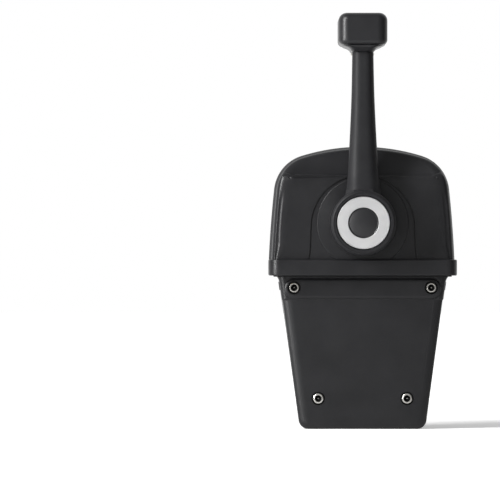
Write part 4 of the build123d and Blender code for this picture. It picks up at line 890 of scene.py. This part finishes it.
def floor_paint():
    """White sweep: matt paper that also glows where the background is seen, more so further off."""
    material = bpy.data.materials.new("white paper sweep")
    material.use_nodes = True
    tree = material.node_tree
    tree.nodes.clear()
    place = add_node(tree, "ShaderNodeTexCoord").outputs["Object"]
    tone = ramp(tree, noise(tree, place, size_mm=260.0), "#f4f4f4", "#fafafa")
    paper = add_node(tree, "ShaderNodeBsdfDiffuse", {"Color": tone})
    along = add_node(tree, "ShaderNodeSeparateXYZ", {"Vector": place}).outputs["Y"]
    behind = add_node(tree, "ShaderNodeMapRange", {"Value": along, "From Min": 0.1, "From Max": 0.5})
    seen = sees_background(tree, behind.outputs["Result"])
    away = add_node(tree, "ShaderNodeVectorMath", {0: place}, operation="LENGTH").outputs["Value"]
    glow_far = add_node(tree, "ShaderNodeMapRange", {
        "Value": away, "From Min": 0.25, "From Max": 1.1, "To Min": 0.35, "To Max": 1.0})
    lift = combined(tree, seen, glow_far.outputs["Result"], "MULTIPLY")
    glow = add_node(tree, "ShaderNodeEmission", {"Strength": lift})
    both = add_node(tree, "ShaderNodeAddShader", {0: paper.outputs["BSDF"], 1: glow.outputs["Emission"]})
    output = add_node(tree, "ShaderNodeOutputMaterial")
    tree.links.new(both.outputs["Shader"], output.inputs["Surface"])
    return material


floor_mesh.materials.append(floor_paint())
print("floor laid", round(floor_height, 4), "m")

# %% [markdown]
# ## Surround
# The camera sees the surround as white. So do reflections that go to what is behind the object. Those that
# come back past the camera meet a grey room that is brighter at the upper left. If they met white as well,
# the black plastics would turn grey.

# %% Hang the surround


def surround():
    """White where the background is seen. Otherwise a grey room that is brightest at the upper left."""
    all_white = linear("#ffffff")
    brightest_way = (-0.42, -0.74, 0.52)
    world = bpy.data.worlds.new("white surround")
    world.use_nodes = True
    tree = world.node_tree
    tree.nodes.clear()
    way = add_node(tree, "ShaderNodeTexCoord").outputs["Generated"]
    toward = add_node(tree, "ShaderNodeVectorMath", {0: way, 1: brightest_way}, operation="DOT_PRODUCT")
    bright = add_node(tree, "ShaderNodeMapRange", {
        "Value": toward.outputs["Value"], "From Min": -0.2, "From Max": 1.0, "To Min": 0.08, "To Max": 0.46},
        interpolation_type="SMOOTHSTEP")
    fill = add_node(tree, "ShaderNodeBackground", {"Color": all_white, "Strength": bright.outputs["Result"]})
    white = add_node(tree, "ShaderNodeBackground", {"Color": all_white, "Strength": 1.0})
    backward = add_node(tree, "ShaderNodeSeparateXYZ", {"Vector": way}).outputs["Y"]
    behind = add_node(tree, "ShaderNodeMapRange", {
        "Value": backward, "From Min": 0.0, "From Max": 0.6, "To Min": 0.0, "To Max": 1.0})
    mix = add_node(tree, "ShaderNodeMixShader", {
        0: sees_background(tree, behind.outputs["Result"]), 1: fill.outputs["Background"],
        2: white.outputs["Background"]})
    output = add_node(tree, "ShaderNodeOutputWorld")
    tree.links.new(mix.outputs["Shader"], output.inputs["Surface"])
    return world


bpy.context.scene.world = surround()
print("surround hung")

# %% [markdown]
# ## Light
# A tall strip at the upper left draws the highlights down the sides of the housings and of the stalk. A
# larger and weaker sheet above it lights the tops. Both are wide, so the shadows stay soft.

# %% Place the lights


def soft_box(name, place, target, width, height, power):
    """A rectangular area light that faces a target. Sizes in metres, power in watts."""
    lamp = bpy.data.lights.new(name, "AREA")
    lamp.shape = "RECTANGLE"
    lamp.size = width
    lamp.size_y = height
    lamp.energy = power
    stand = linked(name, lamp)
    stand.location = place
    stand.rotation_euler = (Vector(target) - Vector(place)).to_track_quat("-Z", "Y").to_euler()


lit_point = (0.0, -0.02, 0.03)      # inside the upper housing
soft_box("strip on the left", (-1.20, -0.96, 0.62), lit_point, width=0.34, height=1.4, power=46.0)
soft_box("sheet high on the left", (-1.3, -1.0, 1.7), lit_point, width=1.0, height=1.0, power=3.5)
print("two lights placed")

# %% [markdown]
# ## Camera
# The photograph has almost no perspective, so the camera stands far off and has a long lens. It looks
# straight back, from left of the object, since the object stands in the right half of the photograph.

# %% Place the camera
camera = bpy.data.cameras.new("photograph")
camera.lens = 408.3
camera.sensor_width = 36.0
camera.clip_end = 20.0
eye = linked("photograph", camera)
eye.location = (-0.0987, -5.0, 0.0224)
eye.rotation_euler = (pi / 2, 0.0, 0.0)
bpy.context.scene.camera = eye
bpy.context.scene.view_settings.view_transform = "Standard"
print("camera placed", round(-eye.location.y, 2), "m in front")
